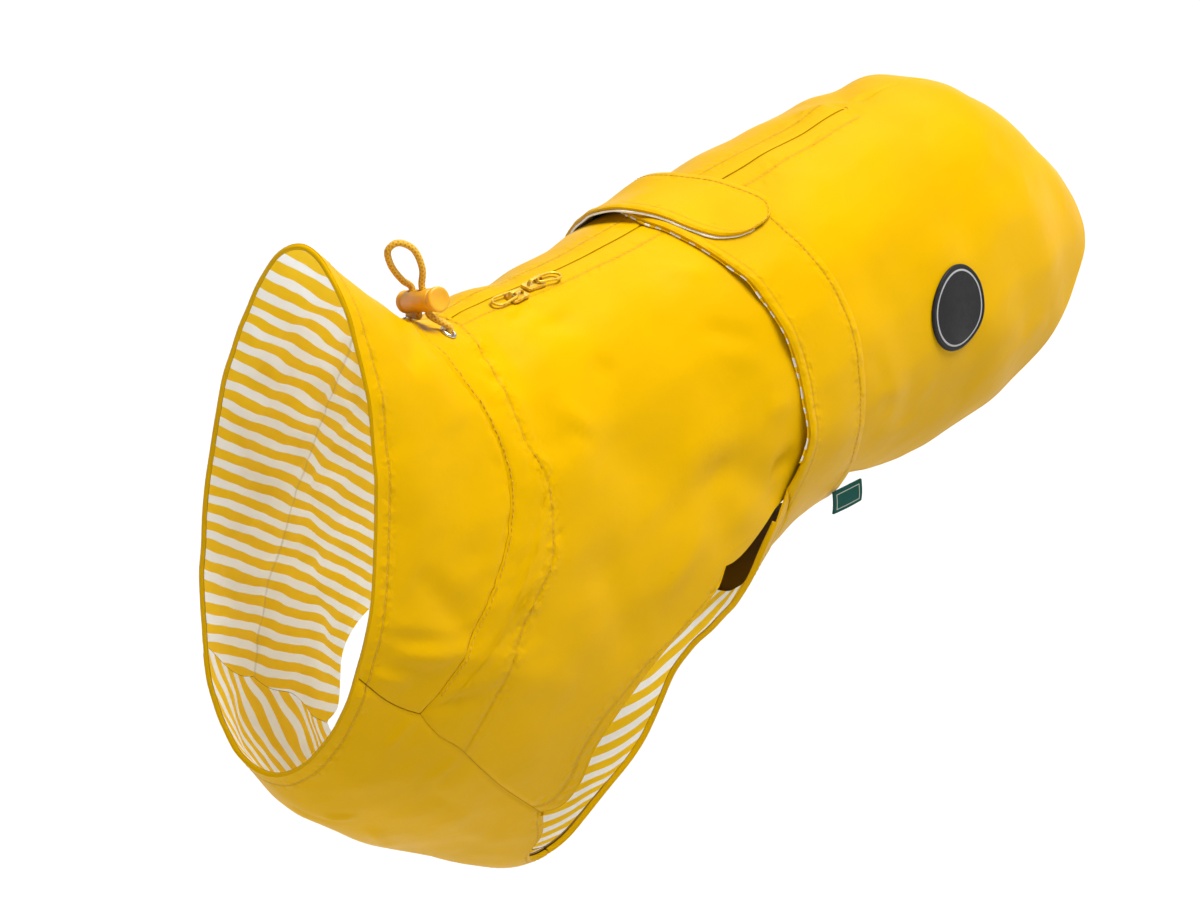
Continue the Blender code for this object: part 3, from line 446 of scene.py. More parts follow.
def joined(first, second, share):
    """Two lines end to end, the first up to that share."""
    def at(wanted):
        wanted = np.asarray(wanted, float)
        in_first = (wanted <= share)[..., None]
        return np.where(in_first, first(wanted / share), second((wanted - share) / (1 - share)))
    return at


def shifted(line, step):
    return lambda share: line(share) + np.array(step, float)


def between(middle, side, front, rear):
    """A piece stretched between its four edges, as a function of shares of its length and its width."""
    def at(a, b):
        a, b = np.broadcast_arrays(np.asarray(a, float), np.asarray(b, float))
        ends = [edge(float(end)) for edge in (front, rear) for end in (0, 1)]
        near, far, first, last = middle(a), side(a), front(b), rear(b)
        a, b = a[..., None], b[..., None]
        corners = (1 - a) * ((1 - b) * ends[0] + b * ends[1]) + a * ((1 - b) * ends[2] + b * ends[3])
        return (1 - b) * near + b * far + (1 - a) * first + a * last - corners
    return at


EDGE_STEPS = np.array((0.35, 0.8, 1.5, 2.6))


def stops(count, length, fine_start=True, fine_end=True, extra=()):
    """Shares of a length: even ones, and closer ones near its ends, where cloth turns under."""
    shares = [np.linspace(0, 1, count + 1), np.array(extra, float)]
    if fine_start:
        shares.append(EDGE_STEPS / length)
    if fine_end:
        shares.append(1 - EDGE_STEPS / length)
    return np.unique(np.round(np.concatenate(shares), 6))


def mirrored(half, shared_middle):
    """A half grid whose first column is on the middle of the back, with its mirror image before it."""
    other = half[:, ::-1] * ((1, -1) + (1,) * (half.shape[2] - 2))
    return np.concatenate([other[:, :-1] if shared_middle else other, half], axis=1)


def mirrored_below(half):
    """The same for a half grid whose first column is on the middle of the belly, at 180 degrees."""
    other = half * ((1, -1) + (1,) * (half.shape[2] - 2))
    other[..., 1] += 360
    return np.concatenate([half[:, ::-1], other[:, 1:]], axis=1)


def laid_out(piece, row_shares, column_shares):
    """A piece's places over a grid, and the grid's shares of the piece's length and width."""
    rows, columns = np.broadcast_arrays(row_shares[:, None], column_shares[None])
    return piece(rows, columns), rows, columns


def with_extra(places, *extra):
    """Places with more numbers kept beside each station and angle."""
    return np.concatenate([places] + [numbers[..., None] for numbers in extra], -1)


def grid_cells(rows, columns, keep=True):
    """The cells of a grid of points, as four point numbers each."""
    keep = np.broadcast_to(keep, (rows - 1, columns - 1))
    first = (np.arange(rows - 1)[:, None] * columns + np.arange(columns - 1))[keep]
    return np.stack([first, first + columns, first + columns + 1, first + 1], -1)


def sheet_faces(cells, count):
    """A closed sheet's faces: the cells, their reverse on the points past count, and the border's wall."""
    edges = np.concatenate([np.stack([cells[:, i], cells[:, (i + 1) % 4]], -1) for i in range(4)])
    border = edges[~np.isin(edges[:, 0] * count + edges[:, 1], edges[:, 1] * count + edges[:, 0])]
    walls = np.stack([border[:, 1], border[:, 0], border[:, 0] + count, border[:, 1] + count], -1)
    return np.concatenate([cells, cells[:, ::-1] + count, walls])


def add_mesh(name, points_m, faces, look, reverse=None, reverse_from=None, marks=None):
    """A mesh in metres, smooth but for its sharp edges. marks are numbers kept at its points."""
    mesh = bpy.data.meshes.new(name)
    mesh.from_pydata(np.asarray(points_m, float).tolist(), [], faces)
    mesh.materials.append(look)
    if reverse is not None:
        mesh.materials.append(reverse)
        slots = np.zeros(len(faces), np.int32)
        slots[reverse_from[0]:reverse_from[1]] = 1
        mesh.polygons.foreach_set("material_index", slots)
    for mark, numbers in (marks or {}).items():
        kept = mesh.attributes.new(mark, "FLOAT", "POINT")
        kept.data.foreach_set("value", np.ravel(numbers).astype(np.float32))
    mesh.shade_smooth()
    mesh.set_sharp_from_angle(angle=math.radians(50))
    mesh.update()
    return add_object(name, mesh)


def shell(name, grid, outer, thickness, look, reverse, marks=None, keep=True):
    """A thin closed sheet of cloth over a grid of places, with its border closed."""
    rows, columns = grid.shape[:2]
    outer = np.broadcast_to(outer, (rows, columns))
    top = cloth_point(grid[..., 0], grid[..., 1], outer)
    bottom = cloth_point(grid[..., 0], grid[..., 1], outer - thickness)
    across = np.cross(top[1:, :-1] - top[:-1, :-1], top[:-1, 1:] - top[:-1, :-1])
    outwards = (across * (top - bottom)[:-1, :-1]).sum() > 0
    count = rows * columns
    cells = grid_cells(rows, columns, keep)
    if not outwards:
        cells = cells[:, ::-1]
    faces = sheet_faces(cells, count)
    used = np.unique(faces)
    renumber = np.zeros(2 * count, np.int64)
    renumber[used] = np.arange(len(used))
    points = np.concatenate([top.reshape(-1, 3), bottom.reshape(-1, 3)])[used]
    kept_marks = {mark: np.tile(np.ravel(np.broadcast_to(numbers, (rows, columns))), 2)[used]
                  for mark, numbers in (marks or {}).items()}
    return add_mesh(name, points, renumber[faces].tolist(), look, reverse, (len(cells), 2 * len(cells)),
                    kept_marks)


def tuck(distance, depth, reach=1.3):
    """How far cloth dips as it turns under at a seam or an edge."""
    return -depth * np.exp(-(distance / reach) ** 2)


# ---------------------------------------------------------------- back panel
# One piece of coated polyester from the neck seam to the rump, slit along the back for the concealed zip.
# It is joined to the chest piece below, cut away for the forelegs, and turned under along its hems.
SLIT_HALF_ANGLE = 0.3
SLIT_STATIONS = (14.0, 306.0)
ZIP_STITCH_ANGLE = 7.2
SHELL_THICKNESS = 1.0
BACK_START = -14             # the station where the back panel meets the collar, on the middle of the back
REAR_HEM = 444
BACK_LENGTH = 458.0
BACK_HALF_WIDTH = 190.0
NECK_SHARE = 2 / 3           # of the back panel's front edge that is sewn to the collar
ZIP_STITCHES = (10, 304)
SEAM_GAP = 0.3
SEAM_TURN = SEAM_GAP / 2 / 1.1
EDGE_STITCH = 5.5            # from a leg hole's edge to its stitches
PAST_LEG_HOLE = 600          # how fast the mark of those stitches runs off where the leg hole ends
CHEST_SEAM = ((-78, 111.5), (-52, 113.5), (-31, 114), (-20, 118), (-6, 121), (6, 125), (25, 131), (44, 134))
LEG_FRONT = ((44, 134), (52, 130.5), (56, 124), (57, 117), (63, 108), (71, 102), (83, 96), (97, 93),
             (112, 89.5))
SIDE_HEM = ((112, 89.5), (119, 85), (128, 86), (145, 91), (163, 93), (182, 98), (200, 107), (220, 116),
            (245, 124), (267, 128), (290, 127), (312, 125), (336, 120), (362, 112), (388, 100.5), (419, 83),
            (436, 72), (REAR_HEM, 58))
NO_LINE = 60.0


def node(tree, kind, inputs=None, **settings):
    """A node with its settings, and its inputs given as numbers or as sockets to link from."""
    made = tree.nodes.new(kind)
    for key, value in settings.items():
        setattr(made, key, value)
    for key, value in (inputs or {}).items():
        if isinstance(value, bpy.types.NodeSocket):
            tree.links.new(value, made.inputs[key])
        else:
            made.inputs[key].default_value = value
    return made


def math_node(tree, operation, *values_in):
    return node(tree, "ShaderNodeMath", dict(enumerate(values_in)), operation=operation).outputs[0]


def times(tree, first, second):
    return math_node(tree, "MULTIPLY", first, second)


def ease(tree, value, low, high, low_to, high_to):
    """A smooth step of a value from one number to another."""
    return node(tree, "ShaderNodeMapRange", {0: value, 1: low, 2: high, 3: low_to, 4: high_to},
                interpolation_type="SMOOTHSTEP").outputs[0]


def noise(tree, coordinates, scale, detail=2.0, roughness=0.5):
    return node(tree, "ShaderNodeTexNoise", {"Vector": coordinates, "Scale": scale, "Detail": detail,
                                             "Roughness": roughness}).outputs[0]


def mix_colour(tree, factor, first, second, blend="MIX"):
    return node(tree, "ShaderNodeMix", {0: factor, 6: first, 7: second}, data_type="RGBA",
                blend_type=blend).outputs[2]


def new_group(name, inputs, outputs):
    """A shader node group with named inputs (name, kind, default) and outputs (name, kind)."""
    tree = bpy.data.node_groups.new(name, "ShaderNodeTree")
    for label, kind, default in inputs:
        socket = tree.interface.new_socket(label, in_out="INPUT", socket_type=f"NodeSocket{kind}")
        if default is not None:
            socket.default_value = default
    for label, kind in outputs:
        tree.interface.new_socket(label, in_out="OUTPUT", socket_type=f"NodeSocket{kind}")
    return tree, tree.nodes.new("NodeGroupInput").outputs, tree.nodes.new("NodeGroupOutput").inputs


def new_look(name, roughness, metallic=0.0, **sockets):
    """A material, its node tree, its Principled shader and its object coordinates."""
    made = bpy.data.materials.new(name)
    made.use_nodes = True
    tree = made.node_tree
    surface = tree.nodes["Principled BSDF"]
    surface.inputs["Roughness"].default_value = roughness
    surface.inputs["Metallic"].default_value = metallic
    for key, value in sockets.items():
        surface.inputs[key.replace("_", " ")].default_value = value
    return made, tree, surface, tree.nodes.new("ShaderNodeTexCoord").outputs["Object"]


def use_group(tree, group, inputs):
    return node(tree, "ShaderNodeGroup", inputs, node_tree=group).outputs


def paint(tree, surface, colour, roughness=None):
    """Links a colour, and a roughness if there is one, to the shader."""
    tree.links.new(colour, surface.inputs["Base Color"])
    if roughness is not None:
        tree.links.new(roughness, surface.inputs["Roughness"])


def bump(tree, surface, height, strength=1.0):
    """A Bump node for a height in mm."""
    made = node(tree, "ShaderNodeBump", {"Height": height, "Strength": strength, "Distance": MM})
    tree.links.new(made.outputs[0], surface.inputs["Normal"])


def mark_of(tree, name):
    return node(tree, "ShaderNodeAttribute", attribute_name=name).outputs["Fac"]


# Sewing pulls cloth down in a narrow groove along each stitched line, and puckers it on both sides.
SEAM_MARKS = ("stitch_line_1", "stitch_line_2", "stitch_line_3")
sewn_relief, group_in, group_out = new_group(
    "sewn_relief",
    [("Coordinates", "Vector", None)] + [(f"Line {i}", "Float", NO_LINE) for i in (1, 2, 3)]
    + [("Pucker", "Float", 0.3), ("Crinkle", "Float", 0.1)],
    [("Height", "Float"), ("Groove", "Float"), ("Mottle", "Float")])
nearest = NO_LINE
for line_name in ("Line 1", "Line 2", "Line 3"):
    distance = math_node(sewn_relief, "ABSOLUTE", group_in[line_name])
    nearest = math_node(sewn_relief, "MINIMUM", nearest, distance)
groove = ease(sewn_relief, nearest, 0.1, 1.3, 1.0, 0.0)
pucker_reach = ease(sewn_relief, nearest, 0.8, 8.0, 1.0, 0.0)
puckers = math_node(sewn_relief, "SUBTRACT", noise(sewn_relief, group_in["Coordinates"], 210, 1.5), 0.5)
puckers = times(sewn_relief, times(sewn_relief, puckers, pucker_reach), group_in["Pucker"])
crinkle = math_node(sewn_relief, "SUBTRACT", noise(sewn_relief, group_in["Coordinates"], 75, 3.0, 0.6), 0.5)
crinkle = times(sewn_relief, crinkle, group_in["Crinkle"])
grain = times(sewn_relief, noise(sewn_relief, group_in["Coordinates"], 1500, 1.0), 0.012)
relief = math_node(sewn_relief, "ADD", math_node(sewn_relief, "ADD", puckers, crinkle), grain)
relief = math_node(sewn_relief, "SUBTRACT", relief, times(sewn_relief, groove, 0.22))
sewn_relief.links.new(relief, group_out["Height"])
sewn_relief.links.new(groove, group_out["Groove"])
sewn_relief.links.new(noise(sewn_relief, group_in["Coordinates"], 14, 3.0), group_out["Mottle"])


def shell_look(name, colour, painted_groove_shade, roughness, pucker, crinkle_height):
    """Coated polyester: smooth satin, with painted shade in its sewn grooves, a little uneven in tone."""
    made, tree, surface, coordinates = new_look(name, roughness, Specular_IOR_Level=0.15, IOR=1.3,
                                                Specular_Tint=(1.0, 0.85, 0.15, 1))
    line_inputs = {f"Line {i + 1}": mark_of(tree, mark) for i, mark in enumerate(SEAM_MARKS)}
    parts = use_group(tree, sewn_relief, {"Coordinates": coordinates, "Pucker": pucker,
                                          "Crinkle": crinkle_height, **line_inputs})
    deeper = tuple(value * 0.93 for value in colour[:3]) + (1,)
    tone = mix_colour(tree, ease(tree, parts["Mottle"], 0.35, 0.65, 0, 1), deeper, colour)
    # The sewn grooves are mixed towards a darker yellow: painted shade.
    tone = mix_colour(tree, times(tree, parts["Groove"], 0.34), tone, painted_groove_shade)
    paint(tree, surface, tone, ease(tree, parts["Mottle"], 0.3, 0.7, roughness + 0.05, roughness - 0.05))
    bump(tree, surface, parts["Height"])
    return made


YELLOW = (0.65, 0.36, 0.0, 1)
# The darker yellow is the painted shade in the shell's sewn grooves.
GROOVE_SHADE_YELLOW = (0.40, 0.20, 0.0, 1)
waterproof = shell_look("waterproof_shell", YELLOW, GROOVE_SHADE_YELLOW, 0.44, 1.5, 0.4)
# The shell's reverse face is a near-black brown: painted shade for the inside of the coat, seen through the
# leg holes and under the hems.
waterproof_reverse = shell_look("shell_reverse", (0.11, 0.05, 0.002, 1), GROOVE_SHADE_YELLOW, 0.7, 0.3, 0.16)


def line_marks(*distances):
    """Marks for up to three stitched lines, as signed distances in mm."""
    distances = list(distances) + [NO_LINE] * (3 - len(distances))
    return dict(zip(SEAM_MARKS, distances))


def tie(piece, body_name, node_name):
    """Ties a piece to its body, and hides the node it stands for, if any."""
    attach(piece, body_name)
    if node_name:
        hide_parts(node_name)


def dress(piece, node_name):
    """Ties a piece of cloth to the coat, and hides the node it stands for."""
    tie(piece, "coat", node_name)


neck_line, chest_line = outline(NECK_SEAM), outline(CHEST_SEAM[2:])
leg_line, hem_line = outline(LEG_FRONT), outline(SIDE_HEM)
LEG_SHARE = 0.178           # of the back panel's lower edge that runs round the leg hole
back_side = joined(leg_line, hem_line, LEG_SHARE)
back_front = joined(shifted(neck_line, (SEAM_GAP / 2, 0)), shifted(chest_line, (0, -SEAM_TURN)), NECK_SHARE)
back_middle = outline([(BACK_START + BACK_LENGTH * share, SLIT_HALF_ANGLE) for share in (0, 0.5, 1)])
back_rear = outline([(REAR_HEM, angle) for angle in (SLIT_HALF_ANGLE, 30, 58)])
back_piece = between(back_middle, back_side, back_front, back_rear)
places, row_grid, column_grid = laid_out(back_piece, stops(178, BACK_LENGTH),
                                         stops(84, BACK_HALF_WIDTH, extra=(NECK_SHARE, 0.004, 0.01)))
from_side = (1 - column_grid) * BACK_HALF_WIDTH
edge_drop = (tuck(row_grid * BACK_LENGTH, 0.6) + tuck((1 - row_grid) * BACK_LENGTH, 0.4)
             + tuck(from_side, 0.45) + tuck(column_grid * BACK_HALF_WIDTH, 0.35, 0.8))
leg_edge = from_side - EDGE_STITCH + np.clip(row_grid - LEG_SHARE, 0, None) * PAST_LEG_HOLE
back_grid = mirrored(with_extra(places, edge_drop, leg_edge), False)
slit_column = places.shape[1] - 1
row_stations = (back_grid[:-1, slit_column + 1, 0] + back_grid[1:, slit_column + 1, 0]) / 2
back_keep = np.ones((back_grid.shape[0] - 1, back_grid.shape[1] - 1), bool)
back_keep[(row_stations > SLIT_STATIONS[0]) & (row_stations < SLIT_STATIONS[1]), slit_column] = False
back_station, back_angle = back_grid[..., 0], back_grid[..., 1]
zip_line = np.where((back_station > ZIP_STITCHES[0]) & (back_station < ZIP_STITCHES[1]),
                    (np.abs(back_angle) - ZIP_STITCH_ANGLE) * MM_PER_DEGREE, NO_LINE)
tunnel_line = back_station - line_station(TUNNEL_REAR, back_angle)
back_panel = shell("back_panel", back_grid, back_grid[..., 2], SHELL_THICKNESS, waterproof,
                   waterproof_reverse, line_marks(tunnel_line, zip_line, back_grid[..., 3]), back_keep)
dress(back_panel, "body")

# ---------------------------------------------------------------- collar
# A tall funnel collar of the same cloth, sewn to the back panel in front of the drawcord. Its rim is turned
# under and stitched down.
COLLAR_LENGTH = 70.0
COLLAR_HALF_WIDTH = 150.0
RIM_STITCH = 7.5

collar_seam = outline(CHEST_SEAM[:3])
collar_side = shifted(collar_seam, (0, -SEAM_TURN))
collar_rear = shifted(neck_line, (-SEAM_GAP / 2, 0))
collar_front = outline([(RIM_STATION, 0), (RIM_STATION, 55), (RIM_STATION, CHEST_SEAM[0][1] - SEAM_TURN)])
collar_middle = outline([(RIM_STATION, 0), (-46, 0), (BACK_START - SEAM_GAP / 2, 0)])
collar_piece = between(collar_middle, collar_side, collar_front, collar_rear)
places, row_grid, column_grid = laid_out(collar_piece, stops(34, COLLAR_LENGTH),
                                         stops(84, COLLAR_HALF_WIDTH, False))
edge_drop = tuck((1 - row_grid) * COLLAR_LENGTH, 0.6) + tuck((1 - column_grid) * COLLAR_HALF_WIDTH, 0.45)
collar_grid = mirrored(with_extra(places, edge_drop), True)
collar = shell("funnel_collar", collar_grid, collar_grid[..., 2], SHELL_THICKNESS, waterproof,
               waterproof_reverse, line_marks(collar_grid[..., 0] - RIM_STATION - RIM_STITCH))
dress(collar, "collar")

# ---------------------------------------------------------------- chest piece
# The lower front of the coat, from the rim to the belly seam. The back panel's edge is lapped on it along
# the chest seam, which makes a narrow dark line: shade in the lap, and painted shade on the lining's back in
# the gap.
CHEST_END = 72.0
CHEST_LEG_EDGE = ((44, 134), (51, 141), (53, 149), (60, 155), (72, 157))
CHEST_LENGTH = 150.0
CHEST_HALF_WIDTH = 88.0
CHEST_SEAM_SHARE = 0.79     # of the chest piece's side that is sewn to the collar and the back panel
COLLAR_SHARE = 0.38         # of that seam that is the collar's

chest_leg = outline(CHEST_LEG_EDGE)
whole_chest_seam = joined(collar_seam, chest_line, COLLAR_SHARE)


def chest_piece_at(inset):
    """The chest piece's half, from the middle of the belly, drawn in by some degrees at its edges."""
    side = joined(shifted(whole_chest_seam, (0, SEAM_TURN - inset * 0.25)), shifted(chest_leg, (0, inset)),
                  CHEST_SEAM_SHARE)
    start, end = side(0.0), side(1.0)
    rim = RIM_STATION + inset
    front = outline([(rim, 180), (rim, (start[1] + 180) / 2), (rim, start[1])])
    last = CHEST_END - SEAM_GAP / 2
    rear = outline([(last, 180), (last, 168), (last, end[1])])
    middle = outline([(rim, 180), (0, 180), (last, 180)])
    return between(middle, side, front, rear)


chest_piece = chest_piece_at(0)
chest_stops = (stops(70, CHEST_LENGTH, extra=(CHEST_SEAM_SHARE,)), stops(46, CHEST_HALF_WIDTH, False))
places, row_grid, column_grid = laid_out(chest_piece, *chest_stops)
from_side = (1 - column_grid) * CHEST_HALF_WIDTH
edge_drop = tuck((1 - row_grid) * CHEST_LENGTH, 0.5) + tuck(from_side, 0.7)
leg_edge = from_side - EDGE_STITCH + np.clip(CHEST_SEAM_SHARE - row_grid, 0, None) * PAST_LEG_HOLE / 2
chest_grid = mirrored_below(with_extra(places, edge_drop, leg_edge))
chest = shell("chest_piece", chest_grid, chest_grid[..., 2], SHELL_THICKNESS, waterproof, waterproof_reverse,
              line_marks(chest_grid[..., 0] - RIM_STATION - RIM_STITCH, chest_grid[..., 3]))
dress(chest, "chest_panel")

# ---------------------------------------------------------------- belly strip
# The strip between the forelegs. It widens into a gore on each side, outside the back panel's edge, up to
# the seam with the belt.
BELLY_EDGE = ((72, 157), (92, 154), (116, 150), (130, 148.5), (137, 146), (142, 141), (145, 134), (147, 127),
              (147.5, 119), (148, 111), (149.5, 103), (155, 96), (163, 90))
BELLY_REAR = ((222, 180), (222, 160), (222, 142), (221, 130))
BELT_SEAM = ((221, 130), (206, 128.5), (190, 125), (174, 119), (165, 110), (166, 101), (166, 95), (163, 90))
BELT_RISE = 2.5
BELLY_LENGTH = 170.0
BELLY_HALF_WIDTH = 80.0
HEM_SHARE = 3 / 8           # of the belly strip's rear edge that is its own hem

belly_edge, belt_seam = outline(BELLY_EDGE), outline(BELT_SEAM)


def belly_rise(angle):
    """The belly piece leaves the form towards the belt, to lie outside the back panel's edge."""
    return BELT_RISE * smooth_step(150 - half_turn(angle), 0, 30)


belly_start = CHEST_END + SEAM_GAP / 2
belly_front = outline([(belly_start, 180), (belly_start, 168), (belly_start, 157)])
belly_rear = joined(outline(BELLY_REAR), shifted(belt_seam, (0, SEAM_TURN)), HEM_SHARE)
belly_middle = outline([(belly_start, 180), (150, 180), (222, 180)])
belly_piece = between(belly_middle, belly_edge, belly_front, belly_rear)
places, row_grid, column_grid = laid_out(belly_piece, stops(80, BELLY_LENGTH),
                                         stops(52, BELLY_HALF_WIDTH, False, extra=(HEM_SHARE,)))
edge_drop = tuck(row_grid * BELLY_LENGTH, 0.5) + tuck((1 - row_grid) * BELLY_LENGTH, 0.5)
belly_grid = mirrored_below(with_extra(places, edge_drop, (1 - column_grid) * BELLY_HALF_WIDTH - EDGE_STITCH))
belly = shell("belly_strip", belly_grid, belly_grid[..., 2] + belly_rise(belly_grid[..., 1]), SHELL_THICKNESS,
              waterproof, waterproof_reverse, line_marks(belly_grid[..., 3]))
dress(belly, "belly_panel")

# ---------------------------------------------------------------- striped lining
# A light woven lining with even yellow and white stripes, in three cut pieces: one inside the collar and the
# front of the back, one inside the chest on a slant, and one inside the belly strip. It is slack, so it
# ripples, and it is caught down along the drawcord's two stitched lines.
STRIPE_PITCH = 8.0
NECK_STRIPES = (0.0975, 0.074, 0.014)       # stripes in a mm down, in one back, and more past the seam
NECK_SEAM_X = -15.0
CHEST_STRIPES = (0.078, 0.060)              # stripes in a mm of station and in a degree
BELLY_STRIPES = (-0.150, -0.065)
LINING_DROP = 1.8
ZIP_LINING_DROP = 3.3
LINING_THICKNESS = 0.8
LINING_INSET = 0.6
NECK_LENGTH = 190.0
NECK_HALF_WIDTH = 170.0
NECK_SEAM_SHARE = 0.60                      # of the neck lining's side that is sewn to the chest lining
BELLY_LINING_LENGTH = 110.0
BELLY_LINING_HALF_WIDTH = 80.0
WHITE_STRIPE = (0.94, 0.97, 1.0, 1)
YELLOW_STRIPE = (0.92, 0.58, 0.002, 1)

striped, tree, surface, coordinates = new_look("striped_lining", 0.8, Specular_IOR_Level=0.3)
parts = use_group(tree, sewn_relief, {"Coordinates": coordinates, "Pucker": 0.5, "Crinkle": 0.3,
                                      "Line 1": mark_of(tree, SEAM_MARKS[0])})
stripe_count = math_node(tree, "DIVIDE", mark_of(tree, "across_stripes"), STRIPE_PITCH)
across_stripe = math_node(tree, "FRACT", stripe_count)
in_white = times(tree, ease(tree, across_stripe, 0.0, 0.03, 0, 1),
                 ease(tree, across_stripe, 0.47, 0.50, 1, 0))
weave_x, weave_y = (math_node(tree, "SINE", times(tree, mark_of(tree, mark), 9.0))
                    for mark in ("across_stripes", "along_stripes"))
weave = times(tree, times(tree, weave_x, weave_y), 0.02)
tone = mix_colour(tree, in_white, YELLOW_STRIPE, WHITE_STRIPE)
shade = ease(tree, parts["Mottle"], 0.3, 0.7, 0.96, 1.0)
shade = node(tree, "ShaderNodeCombineColor", {0: shade, 1: shade, 2: shade}).outputs[0]
tone = mix_colour(tree, 1.0, tone, shade, "MULTIPLY")
# Along the sewn groove the stripes are mixed towards brown: painted shade.
tone = mix_colour(tree, times(tree, parts["Groove"], 0.35), tone, (0.45, 0.35, 0.12, 1))
paint(tree, surface, tone)
bump(tree, surface, math_node(tree, "ADD", parts["Height"], weave))

# The lining's back faces the shell and shows only in the narrow seam gaps. Its dark brown is painted shade,
# which makes those seams dark lines.
plain_reverse, tree, surface, coordinates = new_look("lining_reverse", 0.85)
surface.inputs["Base Color"].default_value = (0.26, 0.15, 0.03, 1)
bump(tree, surface, times(tree, noise(tree, coordinates, 300), 0.2))


def slack(grid, depth, seed):
    """How far a lining hangs inwards from the shell, in soft ripples that run mostly along the stripes."""
    points = form_point(grid[..., 0], grid[..., 1]) * (1.0, 1.0, 1.35)
    long_waves, short_waves = ripple(points, 30, seed), ripple(points, 12, seed + 1)
    return -depth * (0.5 + 0.5 * long_waves) - 0.3 * depth * (0.5 + 0.5 * short_waves)


def neck_drop_at(grid):
    """How far the neck and chest linings lie under the coat's outer face."""
    return LINING_DROP + (ZIP_LINING_DROP - LINING_DROP) * smooth_step(grid[..., 0], -34, 0)


def free_of(distance, reach):
    """0 at an edge that is sewn down, and 1 well clear of it."""
    return 1 - np.exp(-(distance / reach) ** 2)


def neck_stripes(grid):
    """Stripes cut by slanting planes that fan out a little, as straight-grained cloth does on a funnel."""
    points = form_point(grid[..., 0], grid[..., 1])
    past = points[..., 0] - NECK_SEAM_X
    down, back, more_back = NECK_STRIPES
    count = down * points[..., 2] + back * past + more_back * 4 * np.logaddexp(0, past / 4)
    jog = 2.0 / (1 + np.exp(-past / 1.3))
    return STRIPE_PITCH * count + 1.1 * ripple(points, 48, 21) + 0.4 * ripple(points, 15, 22) + jog


def slanted_stripes(grid, pace, unevenness, seed):
    """Stripes in even steps of station and angle, a little uneven."""
    even = (grid[..., 0] * pace[0] + (grid[..., 1] - 180) * pace[1]) * STRIPE_PITCH
    return even + unevenness * ripple(form_point(grid[..., 0], grid[..., 1]), 30, seed)


def add_lining(node_name, grid, height, seam_line, stripes, along):
    marks = line_marks(seam_line)
    marks["across_stripes"], marks["along_stripes"] = stripes, along
    piece = shell(f"{node_name}_cloth", grid, height, LINING_THICKNESS, plain_reverse, striped, marks)
    dress(piece, node_name)


neck_side = joined(shifted(whole_chest_seam, (0, -SEAM_TURN)), shifted(leg_line, (0, -LINING_INSET)),
                   NECK_SEAM_SHARE)
rim_inside = RIM_STATION + LINING_INSET
neck_front = outline([(rim_inside, 0), (rim_inside, 55), (rim_inside, CHEST_SEAM[0][1] - SEAM_TURN)])
neck_rear = outline([(112, 0), (112, 45), (112, 89.5 - LINING_INSET)])
neck_middle = outline([(rim_inside, 0), (20, 0), (112, 0)])
places, row_grid, column_grid = laid_out(between(neck_middle, neck_side, neck_front, neck_rear),
                                         stops(110, NECK_LENGTH, False, False, extra=(NECK_SEAM_SHARE,)),
                                         stops(84, NECK_HALF_WIDTH, False))
grid = mirrored(with_extra(places, (1 - column_grid) * NECK_HALF_WIDTH, row_grid * NECK_LENGTH), True)
neck_line_mark = grid[..., 0] - line_station(NECK_SEAM, grid[..., 1])
loose = free_of(grid[..., 2], 12) * free_of(grid[..., 3], 10) * (1 - 0.8 * np.exp(-(neck_line_mark / 5) ** 2))
add_lining("neck_lining", grid, slack(grid, 2.4, 31) * loose - neck_drop_at(grid), neck_line_mark,
           neck_stripes(grid), grid[..., 0])

places, row_grid, column_grid = laid_out(chest_piece_at(LINING_INSET), *chest_stops)
edge_distance = np.minimum((1 - column_grid) * CHEST_HALF_WIDTH,
                           np.minimum(row_grid, 1 - row_grid) * CHEST_LENGTH)
grid = mirrored_below(with_extra(places, edge_distance))
chest_height = slack(grid, 1.6, 33) * free_of(grid[..., 2], 10) - neck_drop_at(grid)
add_lining("chest_lining", grid, chest_height, NO_LINE, slanted_stripes(grid, CHEST_STRIPES, 2.0, 24),
           grid[..., 1] * 1.25)

lining_edge = outline([(station + 0.8, angle + 0.8) for station, angle in BELLY_EDGE[:10]])
end_station, end_angle = lining_edge(1.0)
lining_rear = outline([(end_station + 25, 180), (end_station + 14, 146), (end_station, end_angle)])
lining_front = outline([(belly_start, 180), (belly_start, 168), (belly_start, 157.8)])
lining_middle = outline([(belly_start, 180), (120, 180), (end_station + 25, 180)])
places, row_grid, column_grid = laid_out(between(lining_middle, lining_edge, lining_front, lining_rear),
                                         stops(60, BELLY_LINING_LENGTH, False, False),
                                         stops(44, BELLY_LINING_HALF_WIDTH, False))
edge_distance = np.minimum((1 - column_grid) * BELLY_LINING_HALF_WIDTH, row_grid * BELLY_LINING_LENGTH)
grid = mirrored_below(with_extra(places, edge_distance))
belly_drop = (ZIP_LINING_DROP + (LINING_DROP + SEAM_GAP - ZIP_LINING_DROP)
              * smooth_step(grid[..., 0], CHEST_END, BELLY_LINING_LENGTH))
belly_height = belly_rise(grid[..., 1]) - belly_drop + slack(grid, 1.0, 35) * free_of(grid[..., 2], 8)
add_lining("belly_lining", grid, belly_height, NO_LINE, slanted_stripes(grid, BELLY_STRIPES, 1.2, 26),
           grid[..., 1] * 1.2)

# ---------------------------------------------------------------- turned edges
# Along the rim, the leg holes and the hems, the shell is folded round to the inside and hides the raw edges
# of both layers. The fold is a soft roll as thick as the layers in it.


